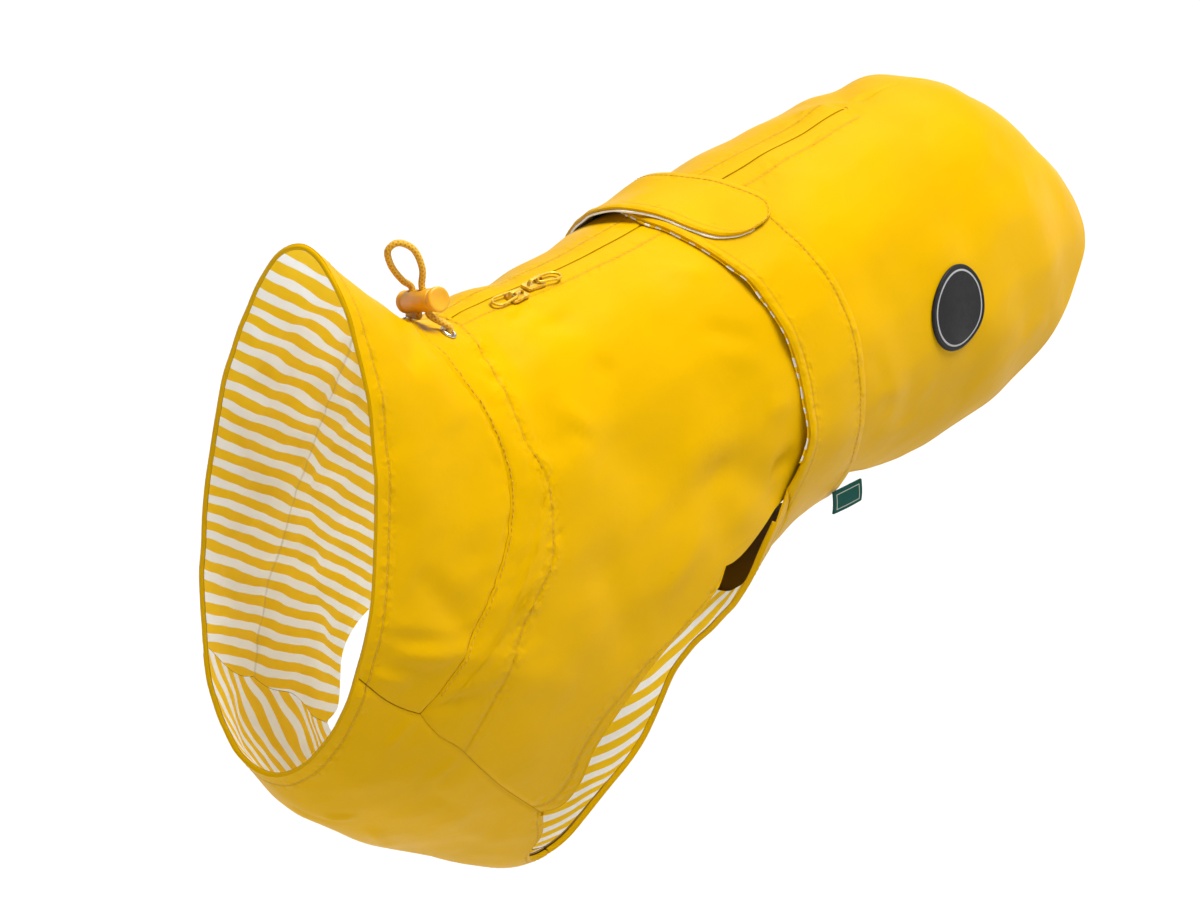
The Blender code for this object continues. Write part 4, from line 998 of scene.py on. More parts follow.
def ring_faces(count, sides, closed):
    """Faces between rings of points, one after another. An open run of rings has a flat cap at each end."""
    rings = np.arange(count * sides).reshape(count, sides)
    ahead = np.roll(rings, -1, 0)
    quads = np.stack([rings, np.roll(rings, -1, 1), np.roll(ahead, -1, 1), ahead], -1)
    faces = quads[:count if closed else count - 1].reshape(-1, 4).tolist()
    if not closed:
        faces += [tuple(range(sides))[::-1], tuple((count - 1) * sides + k for k in range(sides))]
    return faces


def face_outwards(mesh):
    work = bmesh.new()
    work.from_mesh(mesh)
    bmesh.ops.recalc_face_normals(work, faces=work.faces)
    work.to_mesh(mesh)
    work.free()


def heading(path, closed):
    """The direction of a path at each of its points."""
    return unit(np.roll(path, -1, 0) - np.roll(path, 1, 0) if closed else np.gradient(path, axis=0))


def roll(name, line, centre, radius, closed=False, sides=10):
    """A roll of cloth along a line of places, with its middle at a height off the coat's outer face."""
    places_m = cloth_point(line[:, 0], line[:, 1], centre)
    ahead = heading(places_m, closed)
    normal = cloth_surface(line[:, 0], line[:, 1])[1]
    across = unit(np.cross(ahead, normal))
    turn = np.linspace(0, 2 * math.pi, sides, endpoint=False)[None, :, None]
    swell = (radius * (1 + 0.08 * ripple(places_m / MM, 14, 41)))[:, None, None]
    ring = normal[:, None] * np.cos(turn) * swell + across[:, None] * (np.sin(turn) * 0.75 * swell)
    points = (places_m[:, None] + ring * MM).reshape(-1, 3)
    made = add_mesh(name, points, ring_faces(len(line), sides, closed), waterproof,
                    marks={mark: np.full(len(points), NO_LINE) for mark in SEAM_MARKS})
    face_outwards(made.data)
    tie(made, "coat", None)


rim_turn = np.stack([np.full(300, RIM_STATION + 0.6), np.linspace(-180, 180, 300, endpoint=False)], -1)
roll("rim_roll", rim_turn, -1.3, 1.2, closed=True)
belly_turn = belly_edge(np.linspace(0, 0.93, 130)) + (0.4, 0.4)
for name, line, centre, radius in (
        ("leg_hole_roll", leg_line(np.linspace(0, 1, 90)) - (0, 0.5), -1.6, 1.7),
        ("chest_roll", chest_leg(np.linspace(0, 1, 90)[::2]) + (0, 0.5), -1.3, 1.45),
        ("belly_roll", belly_turn, belly_rise(belly_turn[:, 1]) - 1.45, 1.5),
        ("hem_roll", hem_line(np.linspace(0, 1, 220)) - (0, 0.4), -0.6, 0.72)):
    roll(f"{name}_left", line, centre, radius)
    roll(f"{name}_right", line * (1, -1), centre, radius)
rear_turn = np.stack([np.full(120, REAR_HEM - 0.6), np.linspace(-58, 58, 120)], -1)
roll("rear_hem_roll", rear_turn, -0.6, 0.72)

# ---------------------------------------------------------------- belt wings
# Two wings sewn to the belly strip wrap up round the coat and close over the back. The right one ends in a
# rounded tab that lies on the left one. Each is shell cloth, faced with striped lining along its front edge.
# Columns: front_station, front_angle, rear_station, rear_angle, front_height, rear_height.
WING_LEFT = (
    (168.0, 84, 218, 107, 3.6, 1.7),
    (171.5, 77, 215, 92, 4.2, 1.7),
    (171.0, 67, 213, 76, 1.8, 1.7),
    (170.0, 58, 212, 60, 1.9, 1.7),
    (167.5, 50, 210, 50, 3.1, 1.7),
    (164.5, 42, 207, 42, 1.8, 1.7),
    (161.0, 33.5, 204, 33, 3.2, 1.7),
    (156.0, 24, 201, 24, 1.8, 1.7),
    (150.0, 13, 199, 14, 1.8, 1.8),
    (145.0, 3, 197, 3, 1.8, 1.8),
    (148.0, -6, 196, -6, 1.8, 1.8),
    (155.0, -13, 190, -13, 1.8, 1.8),
)
WING_RIGHT = (
    (168.0, -84, 218, -107, 2.6, 1.7),
    (171.5, -77, 215, -92, 2.2, 1.7),
    (171.0, -67, 213, -76, 1.8, 1.7),
    (170.0, -58, 211, -60, 2.8, 1.7),
    (166.0, -48, 206, -48, 1.8, 1.7),
    (160.0, -38, 201, -38, 1.8, 1.8),
    (153.0, -28, 196, -28, 2.8, 2.4),
    (146.5, -19, 191, -19, 5.0, 4.6),
    (143.5, -10, 190, -10, 6.2, 4.8),
    (146.0, -1, 194, 0, 5.8, 4.8),
    (150.5, 7, 198.5, 8, 5.0, 4.7),
    (156.0, 13.5, 202, 14, 4.9, 4.7),
    (163.0, 18.5, 202.5, 18.5, 4.8, 4.7),
    (172.0, 21.5, 196, 21.7, 4.7, 4.7),
    (180.0, 22.7, 189, 22.8, 4.7, 4.7),
)
WING_THICKNESS = 1.2
WING_WIDTH = 46.0
WING_LENGTH = 260.0
WING_STITCH = 5.0
FACING_PEEK = 0.75
FACING_WIDTH = 13.0
FACING_GAP = 0.45
FACING_THICKNESS = 0.9


def wing_surface(table, side_sign):
    """A wing from its seam with the belly (share 0) to its free end (share 1): station, angle and height."""
    rows = np.array(table, float)
    tangents = np.gradient(rows, axis=0)
    seam_height = BELT_RISE - SHELL_THICKNESS
    last = len(rows) - 1
    start = 1.0 / (last + 1)

    def at(share, across):
        share, across = np.broadcast_arrays(np.asarray(share, float), np.asarray(across, float))
        place = np.clip((share - start) / (1 - start), 0, 1) * last
        low = np.clip(np.floor(place).astype(int), 0, last - 1)
        t = (place - low)[..., None]
        row = hermite(t, rows[low], rows[low + 1], tangents[low], tangents[low + 1])
        on_wing = (1 - across)[..., None] * row[..., [0, 1, 4]] + across[..., None] * row[..., [2, 3, 5]]
        seam = (belt_seam(1 - across) - (0, SEAM_TURN)) * (1, side_sign)
        on_seam = np.concatenate([seam, np.full(seam.shape[:-1] + (1,), seam_height)], -1)
        t = np.clip(share / start, 0, 1)[..., None]
        return (1 - t) * on_seam + t * on_wing
    return at


def wing(name, table, side_sign, white_edge):
    """A wing's outer cloth and the striped facing under its front edge."""
    place_at = wing_surface(table, side_sign)
    grid, row_grid, column_grid = laid_out(place_at, stops(120, WING_LENGTH, False), stops(30, WING_WIDTH))
    front, rear = column_grid * WING_WIDTH, (1 - column_grid) * WING_WIDTH
    end = (1 - row_grid) * WING_LENGTH
    drop = (tuck(front, 0.45, 1.0) + tuck(rear, 0.45, 1.0) + tuck(end, 0.35, 1.0)
            + tuck(row_grid * WING_LENGTH, 0.5))
    pressed = 0.5 * np.exp(-((front - WING_STITCH / 2) / 2.4) ** 2)
    edge = np.minimum(np.minimum(front, rear), end) - WING_STITCH
    outer = grid[..., 2] + WING_THICKNESS + drop + pressed
    cloth = shell(f"{name}_cloth", grid, outer, WING_THICKNESS, waterproof, waterproof_reverse,
                  line_marks(edge))
    dress(cloth, name)
    depth = np.linspace(-FACING_PEEK, FACING_WIDTH, 9)[None] / WING_WIDTH
    start = 1.0 / len(table)
    row_shares = np.linspace(start, 1, 150)[:, None]
    grid = place_at(row_shares, np.maximum(depth, 0))
    forward = (place_at(row_shares, 0.02) - place_at(row_shares, 0.0)) / 0.02
    uneven = np.sin(row_shares * 61) + np.sin(row_shares * 23 + 1)
    showing = (0.55 if white_edge else 0.1) + 0.9 * smooth_step(uneven, -0.4, 1.6)
    grid = grid + forward * (np.minimum(depth, 0) * showing)[..., None]
    outer = grid[..., 2] - FACING_GAP
    marks = line_marks(NO_LINE)
    marks["across_stripes"] = (np.full(outer.shape, STRIPE_PITCH * 0.25) if white_edge
                               else np.broadcast_to(row_shares * 190 + 1.5 * uneven, outer.shape) + 6 * depth)
    marks["along_stripes"] = np.broadcast_to(depth * WING_WIDTH, outer.shape)
    facing = shell(f"{name}_facing_cloth", grid, outer, FACING_THICKNESS, striped, striped, marks)
    dress(facing, f"{name}_facing")
    return place_at


left_wing_at = wing("wing_left", WING_LEFT, 1, False)
right_wing_at = wing("wing_right", WING_RIGHT, -1, True)

# ---------------------------------------------------------------- zip
# A concealed zip under the slit: its woven tape, two sliders back to back in coated metal, and a loop pull
# on each, which turns in the slider's arch.
TAPE_DROP = 1.85
TAPE_THICKNESS = 0.9
TAPE_HALF_ANGLE = 8.0
# Columns: name, station, angle, pull_direction, pull_yaw.
SLIDERS = (("front", 49.0, 5.5, -1, 2.0), ("rear", 62.5, 3.5, 1, 8.0))
SLIDER_THICKNESS = 1.5
PULL_LENGTH = 13.5
PULL_WIRE_RADIUS = 0.62
PULL_TILT = 3.0
EYE_OFFSET = 2.2
EYE_HEIGHT = 2.6
PULL_OUTLINE = ((0, -1.8), (0, 0), (0, 1.8), (1.6, 2.4), (5.6, 2.8), (PULL_LENGTH - 3.6, 3.1),
                (PULL_LENGTH - 1.2, 2.3), (PULL_LENGTH, 0), (PULL_LENGTH - 1.2, -2.3),
                (PULL_LENGTH - 3.6, -3.1), (5.6, -2.8), (1.6, -2.4))

# The tape's dark brown is painted shade: seen through the slit, it makes the slit a dark line.
tape_look, tree, surface, coordinates = new_look("zip_tape_weave", 0.8)
twill = node(tree, "ShaderNodeTexWave", {"Vector": coordinates, "Scale": 420.0, "Distortion": 0.5},
             bands_direction="DIAGONAL")
tone = mix_colour(tree, twill.outputs["Fac"], (0.07, 0.035, 0.001, 1), (0.11, 0.06, 0.002, 1))
paint(tree, surface, tone)
bump(tree, surface, times(tree, twill.outputs["Fac"], 0.08))


def mottled_look(name, tones, wear, roughness, metallic=0.0, rough_span=None, grain=None, **sockets):
    """Two tones spread by noise (scale, detail, low, high), with a grain (scale, detail, height)."""
    made, tree, surface, coordinates = new_look(name, roughness, metallic, **sockets)
    spread = ease(tree, noise(tree, coordinates, *wear[:2]), *wear[2:], 0, 1)
    tone = mix_colour(tree, spread, *tones)
    paint(tree, surface, tone, ease(tree, spread, 0, 1, *rough_span) if rough_span else None)
    if grain:
        bump(tree, surface, times(tree, noise(tree, coordinates, *grain[:2]), grain[2]))
    return made, tree, surface, tone


metal_look = mottled_look("coated_slider_metal", ((0.76, 0.47, 0.015, 1), (0.48, 0.26, 0.01, 1)),
                          (420, 3.0, 0.45, 0.7), 0.34, 0.35, (0.28, 0.5), (900, 2.0, 0.06),
                          Coat_Weight=0.3)[0]

tape_rows = np.linspace(SLIT_STATIONS[0] - 2, SLIT_STATIONS[1] + 3, 150)
tape_columns = np.linspace(-TAPE_HALF_ANGLE, TAPE_HALF_ANGLE, 17)
tape_grid = np.stack(np.meshgrid(tape_rows, tape_columns, indexing="ij"), -1)
tape = shell("zip_tape_cloth", tape_grid, -TAPE_DROP, TAPE_THICKNESS, tape_look, tape_look)
dress(tape, "zip_tape")


def frame_of(origin_m, z_axis, x_axis):
    """A matrix that places a piece at a point with two of its axes."""
    z_axis = Vector(z_axis).normalized()
    x_axis = (Vector(x_axis) - z_axis * z_axis.dot(Vector(x_axis))).normalized()
    made = Matrix((x_axis, z_axis.cross(x_axis), z_axis)).transposed().to_4x4()
    made.translation = Vector(origin_m)
    return made


def tube(path, radii, sides, closed):
    """A tube's points and faces along a path, in the path's own units, with its distances along and round."""
    path = np.array(path, float)
    count = len(path)
    ahead = heading(path, closed)
    side = np.cross(ahead[0], (0, 0, 1) if abs(ahead[0][2]) < 0.8 else (0, 1, 0))
    frames = []
    for step in ahead:
        side = unit(side - step * (side @ step))
        frames.append((side, np.cross(step, side)))
    turn = np.linspace(0, 2 * math.pi, sides, endpoint=False)
    radii = np.broadcast_to(radii, (count,))
    rings = np.array([centre + radius * (np.cos(turn)[:, None] * first + np.sin(turn)[:, None] * second)
                      for centre, radius, (first, second) in zip(path, radii, frames)])
    lengths = np.r_[0, np.cumsum(np.linalg.norm(np.diff(path, axis=0), axis=1))]
    marks = {"along_cord": np.repeat(lengths, sides), "round_cord": np.tile(turn, count)}
    return rings.reshape(-1, 3), ring_faces(count, sides, closed), marks


def smooth_closed(points, steps):
    """A smooth closed curve through points."""
    points = np.array(points, float)
    tangents = (np.roll(points, -1, 0) - np.roll(points, 1, 0)) / 2
    t = np.arange(steps)[:, None] / steps
    return np.concatenate([hermite(t, points[i], points[(i + 1) % len(points)], tangents[i],
                                   tangents[(i + 1) % len(points)]) for i in range(len(points))])


def place_piece(name, points, faces, matrix, look, body_name, node_name, slot_name, marks=None, bevel=0.0):
    """A small hard piece, given in mm about its own frame and put in its place."""
    placed = [tuple(matrix @ (Vector(point) * MM)) for point in points]
    made = add_mesh(name, placed, faces, look, marks=marks)
    face_outwards(made.data)
    if bevel:
        rounding = made.modifiers.new("rounding", "BEVEL")
        rounding.width = bevel * MM
        rounding.segments = 3
        rounding.limit_method = "ANGLE"
        rounding.angle_limit = math.radians(30)
    tie(made, body_name, node_name)
    return made


def slider_mesh():
    """A slider's plate, wide at the shoulders and waisted behind, with an arched bridge over it."""
    profile = ((-5.5, 2.4), (-4.6, 3.1), (-1.0, 3.2), (2.0, 3.7), (4.6, 3.7), (5.5, 2.9))
    edge = list(profile) + [(x, -y) for x, y in profile[::-1]]
    points = [(x, y, z) for z in (0.0, SLIDER_THICKNESS) for x, y in edge]
    faces = ring_faces(2, len(edge), False)
    bridge = [(-3.4, 0.0), (-3.1, 1.7), (-2.0, 2.6), (0.0, 2.9), (2.4, 2.9), (4.4, 2.6), (5.0, 1.7),
              (5.2, 0.0)]
    low = SLIDER_THICKNESS - 0.4
    first = len(points)
    for index, (x, z) in enumerate(bridge):
        ahead = unit(np.subtract(bridge[min(index + 1, 7)], bridge[max(index - 1, 0)]))
        for offset in (0.32, -0.32):
            for y in (-0.9, 0.9):
                points.append((x - ahead[1] * offset, y, low + z + ahead[0] * offset))
    for index in range(len(bridge) - 1):
        a, b = first + 4 * index, first + 4 * (index + 1)
        faces += [(a, a + 1, b + 1, b), (a + 3, a + 2, b + 2, b + 3), (a + 1, a + 3, b + 3, b + 1),
                  (a + 2, a, b, b + 2)]
    end = first + 4 * (len(bridge) - 1)
    faces += [(first, first + 2, first + 3, first + 1), (end, end + 1, end + 3, end + 2)]
    return points, faces


for name, station, angle, direction, pull_yaw in SLIDERS:
    along = form_tangents(station, angle)[0]
    seat_frame = frame_of(cloth_point(station, angle, SEAM_GAP), outward(station, angle), along * direction)
    place_piece(f"slider_{name}_metal", *slider_mesh(), seat_frame, metal_look, "coat", f"slider_{name}",
                "coated_metal", bevel=0.28)
    eye_frame = seat_frame @ Matrix.Translation((EYE_OFFSET * MM, 0, EYE_HEIGHT * MM))
    eye_frame = eye_frame @ Matrix.Rotation(-math.radians(pull_yaw * direction), 4, "Z")
    eye_frame = eye_frame @ Matrix.Rotation(math.radians(PULL_TILT), 4, "Y")
    wire = smooth_closed([(x, y, 0.0) for x, y in PULL_OUTLINE], 8)
    points, faces, _ = tube(wire, PULL_WIRE_RADIUS, 12, True)
    place_piece(f"pull_{name}_wire", points.tolist(), faces, eye_frame, metal_look, f"{name}_pull",
                f"pull_{name}", "coated_metal")

# ---------------------------------------------------------------- eyelets
# Two pressed metal eyelets in the back panel, where the drawcord leaves its tunnel.
EYELETS = (("eyelet_left", -1.4, 10.2), ("eyelet_right", 1.8, -11.2))
EYELET_PROFILE = ((2.3, 0.15), (2.3, 1.05), (2.5, 1.4), (2.9, 1.58), (3.3, 1.5), (3.7, 1.2), (3.9, 0.8),
                  (3.85, 0.35))

eyelet_look = mottled_look("eyelet_metal", ((0.78, 0.77, 0.75, 1), (0.55, 0.54, 0.52, 1)),
                           (600, 3.0, 0.4, 0.65), 0.25, 1.0, (0.2, 0.38))[0]


def place_on_cloth(station, angle, along_mm, around_mm, height):
    """Points in metres near a place, at distances along the back and down the side."""
    along, around = form_tangents(station, angle)
    first = unit(along)
    second = unit(around - first * (around @ first))
    metric = np.array([[along @ first, around @ first], [along @ second, around @ second]])
    steps = np.linalg.solve(metric, np.stack([np.ravel(along_mm), np.ravel(around_mm)]))
    shape = np.shape(along_mm)
    return cloth_point(station + steps[0].reshape(shape), angle + steps[1].reshape(shape),
                       np.broadcast_to(height, shape))


def round_trim(name, station, angle, profile, segments, look, node_name, slot_name, closed_profile=True):
    """A round trim that follows the cloth, from a profile of (radius, height)."""
    turn = np.linspace(0, 2 * math.pi, segments, endpoint=False)
    profile = np.array(profile, float)
    rings = [place_on_cloth(station, angle, r * np.cos(turn), r * np.sin(turn), h) for r, h in profile]
    made = add_mesh(name, np.concatenate(rings), ring_faces(len(profile), segments, closed_profile), look,
                    marks={"radius": np.repeat(profile[:, 0], segments)})
    face_outwards(made.data)
    tie(made, "coat", node_name)


for name, station, angle in EYELETS:
    round_trim(f"{name}_ring", station, angle, EYELET_PROFILE, 40, eyelet_look, name, "eyelet_metal")

# ---------------------------------------------------------------- cord lock and drawcord
# A barrel lock: a moulded tube with two holes across it, and a sprung plunger whose round head is pressed
# to free the cord. The elastic cord comes up from the eyelets, through the lock, and ends in a loop.
LOCK_AXIS = Vector((-0.137, -0.919, 0.370)).normalized()
LOCK_CENTRE = Vector((-4.6, 1.0, 13.3))
LOCK_HOLE_AXIS = (Vector((0, 0, 1)) - LOCK_AXIS * LOCK_AXIS.z).normalized()
LOCK_HOLE_PLACES = (-3.0, 5.0)
LOCK_HOLE_RADIUS = 1.95
CORD_DIAMETER = 3.0
BRAID_PITCH = 1.9
LOOP_POINTS = ((-8.4, 6.6, 22.5), (-13.6, 8.3, 31.2), (-14.4, 8.8, 38.0), (-11.2, 6.2, 41.0),
               (-6.3, 2.0, 37.9), (-4.0, -1.0, 28.5))
BARREL_PROFILE = ((3.0, -11.2), (4.1, -11.2), (4.7, -10.9), (5.0, -10.3), (5.0, -7.6), (4.86, -7.4),
                  (4.86, -7.0), (5.0, -6.8), (5.0, 10.2), (4.85, 10.9), (4.5, 11.2), (3.9, 11.2),
                  (3.5, 10.8), (3.5, -9.4))
BUTTON_PROFILE = ((3.1, -7.6), (3.1, 12.7), (4.9, 12.7), (5.35, 12.9), (5.5, 13.3), (5.5, 14.8), (5.3, 15.2),
                  (4.9, 15.45), (4.2, 15.5), (3.9, 15.38))

plastic_look = mottled_look("moulded_lock_plastic", ((0.70, 0.325, 0.008, 1), (0.77, 0.38, 0.012, 1)),
                            (130, 3.0, 0.3, 0.7), 0.42, grain=(1400, 1.0, 0.03), Specular_IOR_Level=0.5)[0]

lock_frame = frame_of((LOCK_CENTRE - Vector(ORIGIN)) * MM, LOCK_AXIS, LOCK_HOLE_AXIS)


def turned_points(profile, segments, caps):
    """Points and faces of a profile turned about Z. caps closes it with flat ends."""
    turn = np.linspace(0, 2 * math.pi, segments, endpoint=False)
    points = [(r * math.cos(t), r * math.sin(t), z) for r, z in profile for t in turn]
    return points, ring_faces(len(profile), segments, not caps)


def cut(target, points, faces, matrix):
    """Cuts a shape out of a piece, for good."""
    mesh = bpy.data.meshes.new("cutter")
    mesh.from_pydata([tuple(matrix @ (Vector(point) * MM)) for point in points], [], faces)
    face_outwards(mesh)
    tool = add_object("cutter", mesh)
    made = target.modifiers.new("cut", "BOOLEAN")
    made.operation = "DIFFERENCE"
    made.object = tool
    finished = bpy.data.meshes.new_from_object(target.evaluated_get(bpy.context.evaluated_depsgraph_get()))
    target.modifiers.clear()
    target.data = finished
    bpy.data.objects.remove(tool)
    finished.set_sharp_from_angle(angle=math.radians(35))


points, faces = turned_points(BARREL_PROFILE + ((0.02, -9.4), (0.02, -11.2)), 64, False)
barrel = place_piece("cord_lock_barrel", points, faces, lock_frame, plastic_look, "coat", "cord_lock",
                     "lock_plastic")
points, faces = turned_points(BUTTON_PROFILE, 64, True)
button = place_piece("cord_lock_plunger", points, faces, lock_frame, plastic_look, "lock_button",
                     "cord_lock_button", "lock_plastic")
hole_points, hole_faces = turned_points(((LOCK_HOLE_RADIUS, -8), (LOCK_HOLE_RADIUS, 8)), 32, True)
for place in LOCK_HOLE_PLACES:
    hole_frame = frame_of((LOCK_CENTRE - Vector(ORIGIN) + LOCK_AXIS * place) * MM, LOCK_HOLE_AXIS, LOCK_AXIS)
    cut(barrel, hole_points, hole_faces, hole_frame)
slot_points = [(x, y, z) for x in (-8, 8) for y in (-LOCK_HOLE_RADIUS, LOCK_HOLE_RADIUS) for z in (-4.7, 8.1)]
slot_faces = [(0, 1, 3, 2), (4, 6, 7, 5), (0, 4, 5, 1), (2, 3, 7, 6), (0, 2, 6, 4), (1, 5, 7, 3)]
cut(button, slot_points, slot_faces, lock_frame)


def smooth_route(points, spacing):
    """A smooth curve through the route's points, as points about a spacing apart."""
    points = np.array(points, float)
    steps = np.r_[0, np.cumsum(np.linalg.norm(np.diff(points, axis=0), axis=1) ** 0.5)]
    tangents = np.gradient(points, steps, axis=0)
    dense = []
    for i in range(len(points) - 1):
        span = steps[i + 1] - steps[i]
        t = np.linspace(0, 1, 40, endpoint=False)[:, None]
        dense.append(hermite(t, points[i], points[i + 1], tangents[i] * span, tangents[i + 1] * span))
    dense = np.concatenate(dense + [points[-1:]])
    lengths = np.r_[0, np.cumsum(np.linalg.norm(np.diff(dense, axis=0), axis=1))]
    wanted = np.linspace(0, lengths[-1], int(round(lengths[-1] / spacing)) + 1)
    return np.stack([np.interp(wanted, lengths, dense[:, i]) for i in range(3)], -1), lengths[-1]


cord_look, tree, surface, _ = new_look("braided_elastic", 0.72, Sheen_Weight=0.25)
along_cord = times(tree, mark_of(tree, "along_cord"), 2 * math.pi / BRAID_PITCH)
round_cord = times(tree, mark_of(tree, "round_cord"), 4.0)
strand_1 = math_node(tree, "SINE", math_node(tree, "ADD", along_cord, round_cord))
strand_2 = math_node(tree, "SINE", math_node(tree, "SUBTRACT", along_cord, round_cord))
braid = math_node(tree, "MAXIMUM", strand_1, strand_2)
tone = mix_colour(tree, ease(tree, braid, -0.2, 0.8, 0, 1), (0.50, 0.26, 0.004, 1), (0.72, 0.40, 0.012, 1))
paint(tree, surface, tone)
bump(tree, surface, times(tree, braid, 0.07))

eyelet_ends = [[cloth_point(station, angle, height) / MM + ORIGIN for height in (-1.3, 0.8, 2.8)]
               for _, station, angle in EYELETS]
far_hole, near_hole = (np.array(LOCK_CENTRE + LOCK_AXIS * place) for place in LOCK_HOLE_PLACES)
through = [np.array(LOCK_HOLE_AXIS) * place for place in (-6.5, -3.0, 3.0, 6.5)]
route = (eyelet_ends[0] + [near_hole + step for step in through] + list(LOOP_POINTS[::-1])
         + [far_hole + step for step in reversed(through)] + eyelet_ends[1][::-1])
cord_path, cord_length = smooth_route(route, 0.55)
points, faces, marks = tube(cord_path, CORD_DIAMETER / 2, 20, False)
cord = add_mesh("drawcord_elastic", (points - ORIGIN) * MM, faces, cord_look, marks=marks)
tie(cord, "coat", "drawcord")

# ---------------------------------------------------------------- patch
# A round moulded rubber patch sewn to the left of the rump. Its face is left bare inside a fine grey ring.
PATCH_PLACE = (286.0, 74.5)
PATCH_PROFILE = ((0.4, 1.35), (5.0, 1.35), (10.0, 1.35), (15.0, 1.35), (17.6, 1.35), (18.2, 1.35),
                 (18.4, 1.5), (19.2, 1.5), (19.4, 1.35), (19.9, 1.35), (20.3, 1.6), (21.0, 1.65),
                 (21.5, 1.45), (21.75, 1.1), (21.75, 0.3), (15.0, 0.3), (5.0, 0.3), (0.4, 0.3))

rubber_look, tree, surface, rubber_tone = mottled_look(
    "moulded_rubber", ((0.008, 0.008, 0.009, 1), (0.018, 0.018, 0.019, 1)), (160, 4.0, 0.35, 0.75), 0.6,
    rough_span=(0.48, 0.68), grain=(1100, 1.0, 0.08), Specular_IOR_Level=0.2)
radius = mark_of(tree, "radius")
ring = times(tree, ease(tree, radius, 18.2, 18.45, 0, 1), ease(tree, radius, 19.15, 19.4, 1, 0))
paint(tree, surface, mix_colour(tree, ring, rubber_tone, (0.36, 0.36, 0.37, 1)))
round_trim("patch_rubber_disc", *PATCH_PLACE, PATCH_PROFILE, 120, rubber_look, "patch", "patch_rubber", False)

# ---------------------------------------------------------------- label
# A small woven flag label caught in the belt's lower seam, folded over at its end. It is left bare inside a
# fine woven border.
LABEL_TOP = ((213.0, 119.5, 3.4), (232.5, 121.5, 3.4))
LABEL_WIDTH = 19.5
LABEL_HEIGHT = 12.0

label_look, tree, surface, _ = new_look("woven_label", 0.8, Specular_IOR_Level=0.2)
across_label, down_label = mark_of(tree, "across_label"), mark_of(tree, "down_label")
inset = LABEL_WIDTH
for mark, size in ((across_label, LABEL_WIDTH), (down_label, LABEL_HEIGHT)):
    inset = math_node(tree, "MINIMUM", inset, mark)
    inset = math_node(tree, "MINIMUM", inset, math_node(tree, "SUBTRACT", size, mark))
border = times(tree, ease(tree, inset, 1.7, 1.85, 0, 1), ease(tree, inset, 2.15, 2.3, 1, 0))
ribs = math_node(tree, "SINE", times(tree, across_label, 2 * math.pi / 0.45))
threads = math_node(tree, "SINE", times(tree, down_label, 2 * math.pi / 0.6))
cloth_tone = mix_colour(tree, ease(tree, ribs, -1, 1, 0, 1), (0.0, 0.04, 0.032, 1), (0.002, 0.09, 0.072, 1))
tone = mix_colour(tree, border, cloth_tone, (0.42, 0.45, 0.34, 1))
paint(tree, surface, tone)
bump(tree, surface, times(tree, math_node(tree, "ADD", ribs, threads), 0.03))

label_corners = [cloth_point(station, angle, height) / MM for station, angle, height in LABEL_TOP]
across, down = np.linspace(0, 1, 40), np.linspace(0, LABEL_HEIGHT, 25)
seam_points = label_corners[0] + across[:, None] * (label_corners[1] - label_corners[0])
bend = -0.8 * np.sin(down / 5)[None] - 0.5 * np.sin(across * 3.1)[:, None] * (down / LABEL_HEIGHT)[None] ** 2
hang = np.stack([np.zeros_like(bend), bend - 1.0, -np.broadcast_to(down, bend.shape)], -1)
front_face = seam_points[:, None] + hang
rows, columns = bend.shape
points = np.concatenate([front_face.reshape(-1, 3), (front_face + (0, 0.9, 0)).reshape(-1, 3)])
label = add_mesh("flag_label", points * MM,
                 sheet_faces(grid_cells(rows, columns)[:, ::-1], rows * columns).tolist(), label_look,
                 marks={"across_label": np.tile(np.repeat(across * LABEL_WIDTH, columns), 2),
                        "down_label": np.tile(np.tile(down, rows), 2)})
face_outwards(label.data)
dress(label, "label")

# ---------------------------------------------------------------- stitching
# Lockstitch in matching thread along the rim, the drawcord's tunnel, the zip, the leg holes and the wings,
# with a small cross tack at the zip's end.
STITCH_LENGTH = 2.3
STITCH_PITCH = 2.9
THREAD_RADIUS = 0.2

thread_look, tree, surface, coordinates = new_look("polyester_thread", 0.6, Sheen_Weight=0.2)
tone = mix_colour(tree, noise(tree, coordinates, 500), (0.48, 0.25, 0.0, 1), (0.62, 0.34, 0.0, 1))
paint(tree, surface, tone)
bump(tree, surface, times(tree, noise(tree, coordinates, 2500, 1.0), 0.05))

stitch_tree = bpy.data.node_groups.new("stitch_row", "GeometryNodeTree")
stitch_tree.is_modifier = True
stitch_tree.interface.new_socket("Line", in_out="INPUT", socket_type="NodeSocketGeometry")
for label_text in ("Length", "Pitch", "Radius"):
    stitch_tree.interface.new_socket(label_text, in_out="INPUT", socket_type="NodeSocketFloat")
stitch_tree.interface.new_socket("Stitches", in_out="OUTPUT", socket_type="NodeSocketGeometry")
given = stitch_tree.nodes.new("NodeGroupInput").outputs
result = stitch_tree.nodes.new("NodeGroupOutput").inputs
line_curve = node(stitch_tree, "GeometryNodeMeshToCurve", {"Mesh": given["Line"]}).outputs[0]
spots = node(stitch_tree, "GeometryNodeCurveToPoints", {"Curve": line_curve, "Length": given["Pitch"]},
             mode="LENGTH").outputs
turn_to_line = node(stitch_tree, "FunctionNodeAlignRotationToVector", {"Vector": spots["Tangent"]}, axis="X")
size = node(stitch_tree, "ShaderNodeCombineXYZ", {"X": given["Length"], "Y": given["Radius"],
                                                  "Z": given["Radius"]}).outputs[0]
one_stitch = node(stitch_tree, "GeometryNodeMeshUVSphere",
                  {"Segments": 6, "Rings": 4, "Radius": 1.0}).outputs[0]
laid = node(stitch_tree, "GeometryNodeInstanceOnPoints", {"Points": spots["Points"], "Instance": one_stitch,
                                                          "Rotation": turn_to_line.outputs[0], "Scale": size})
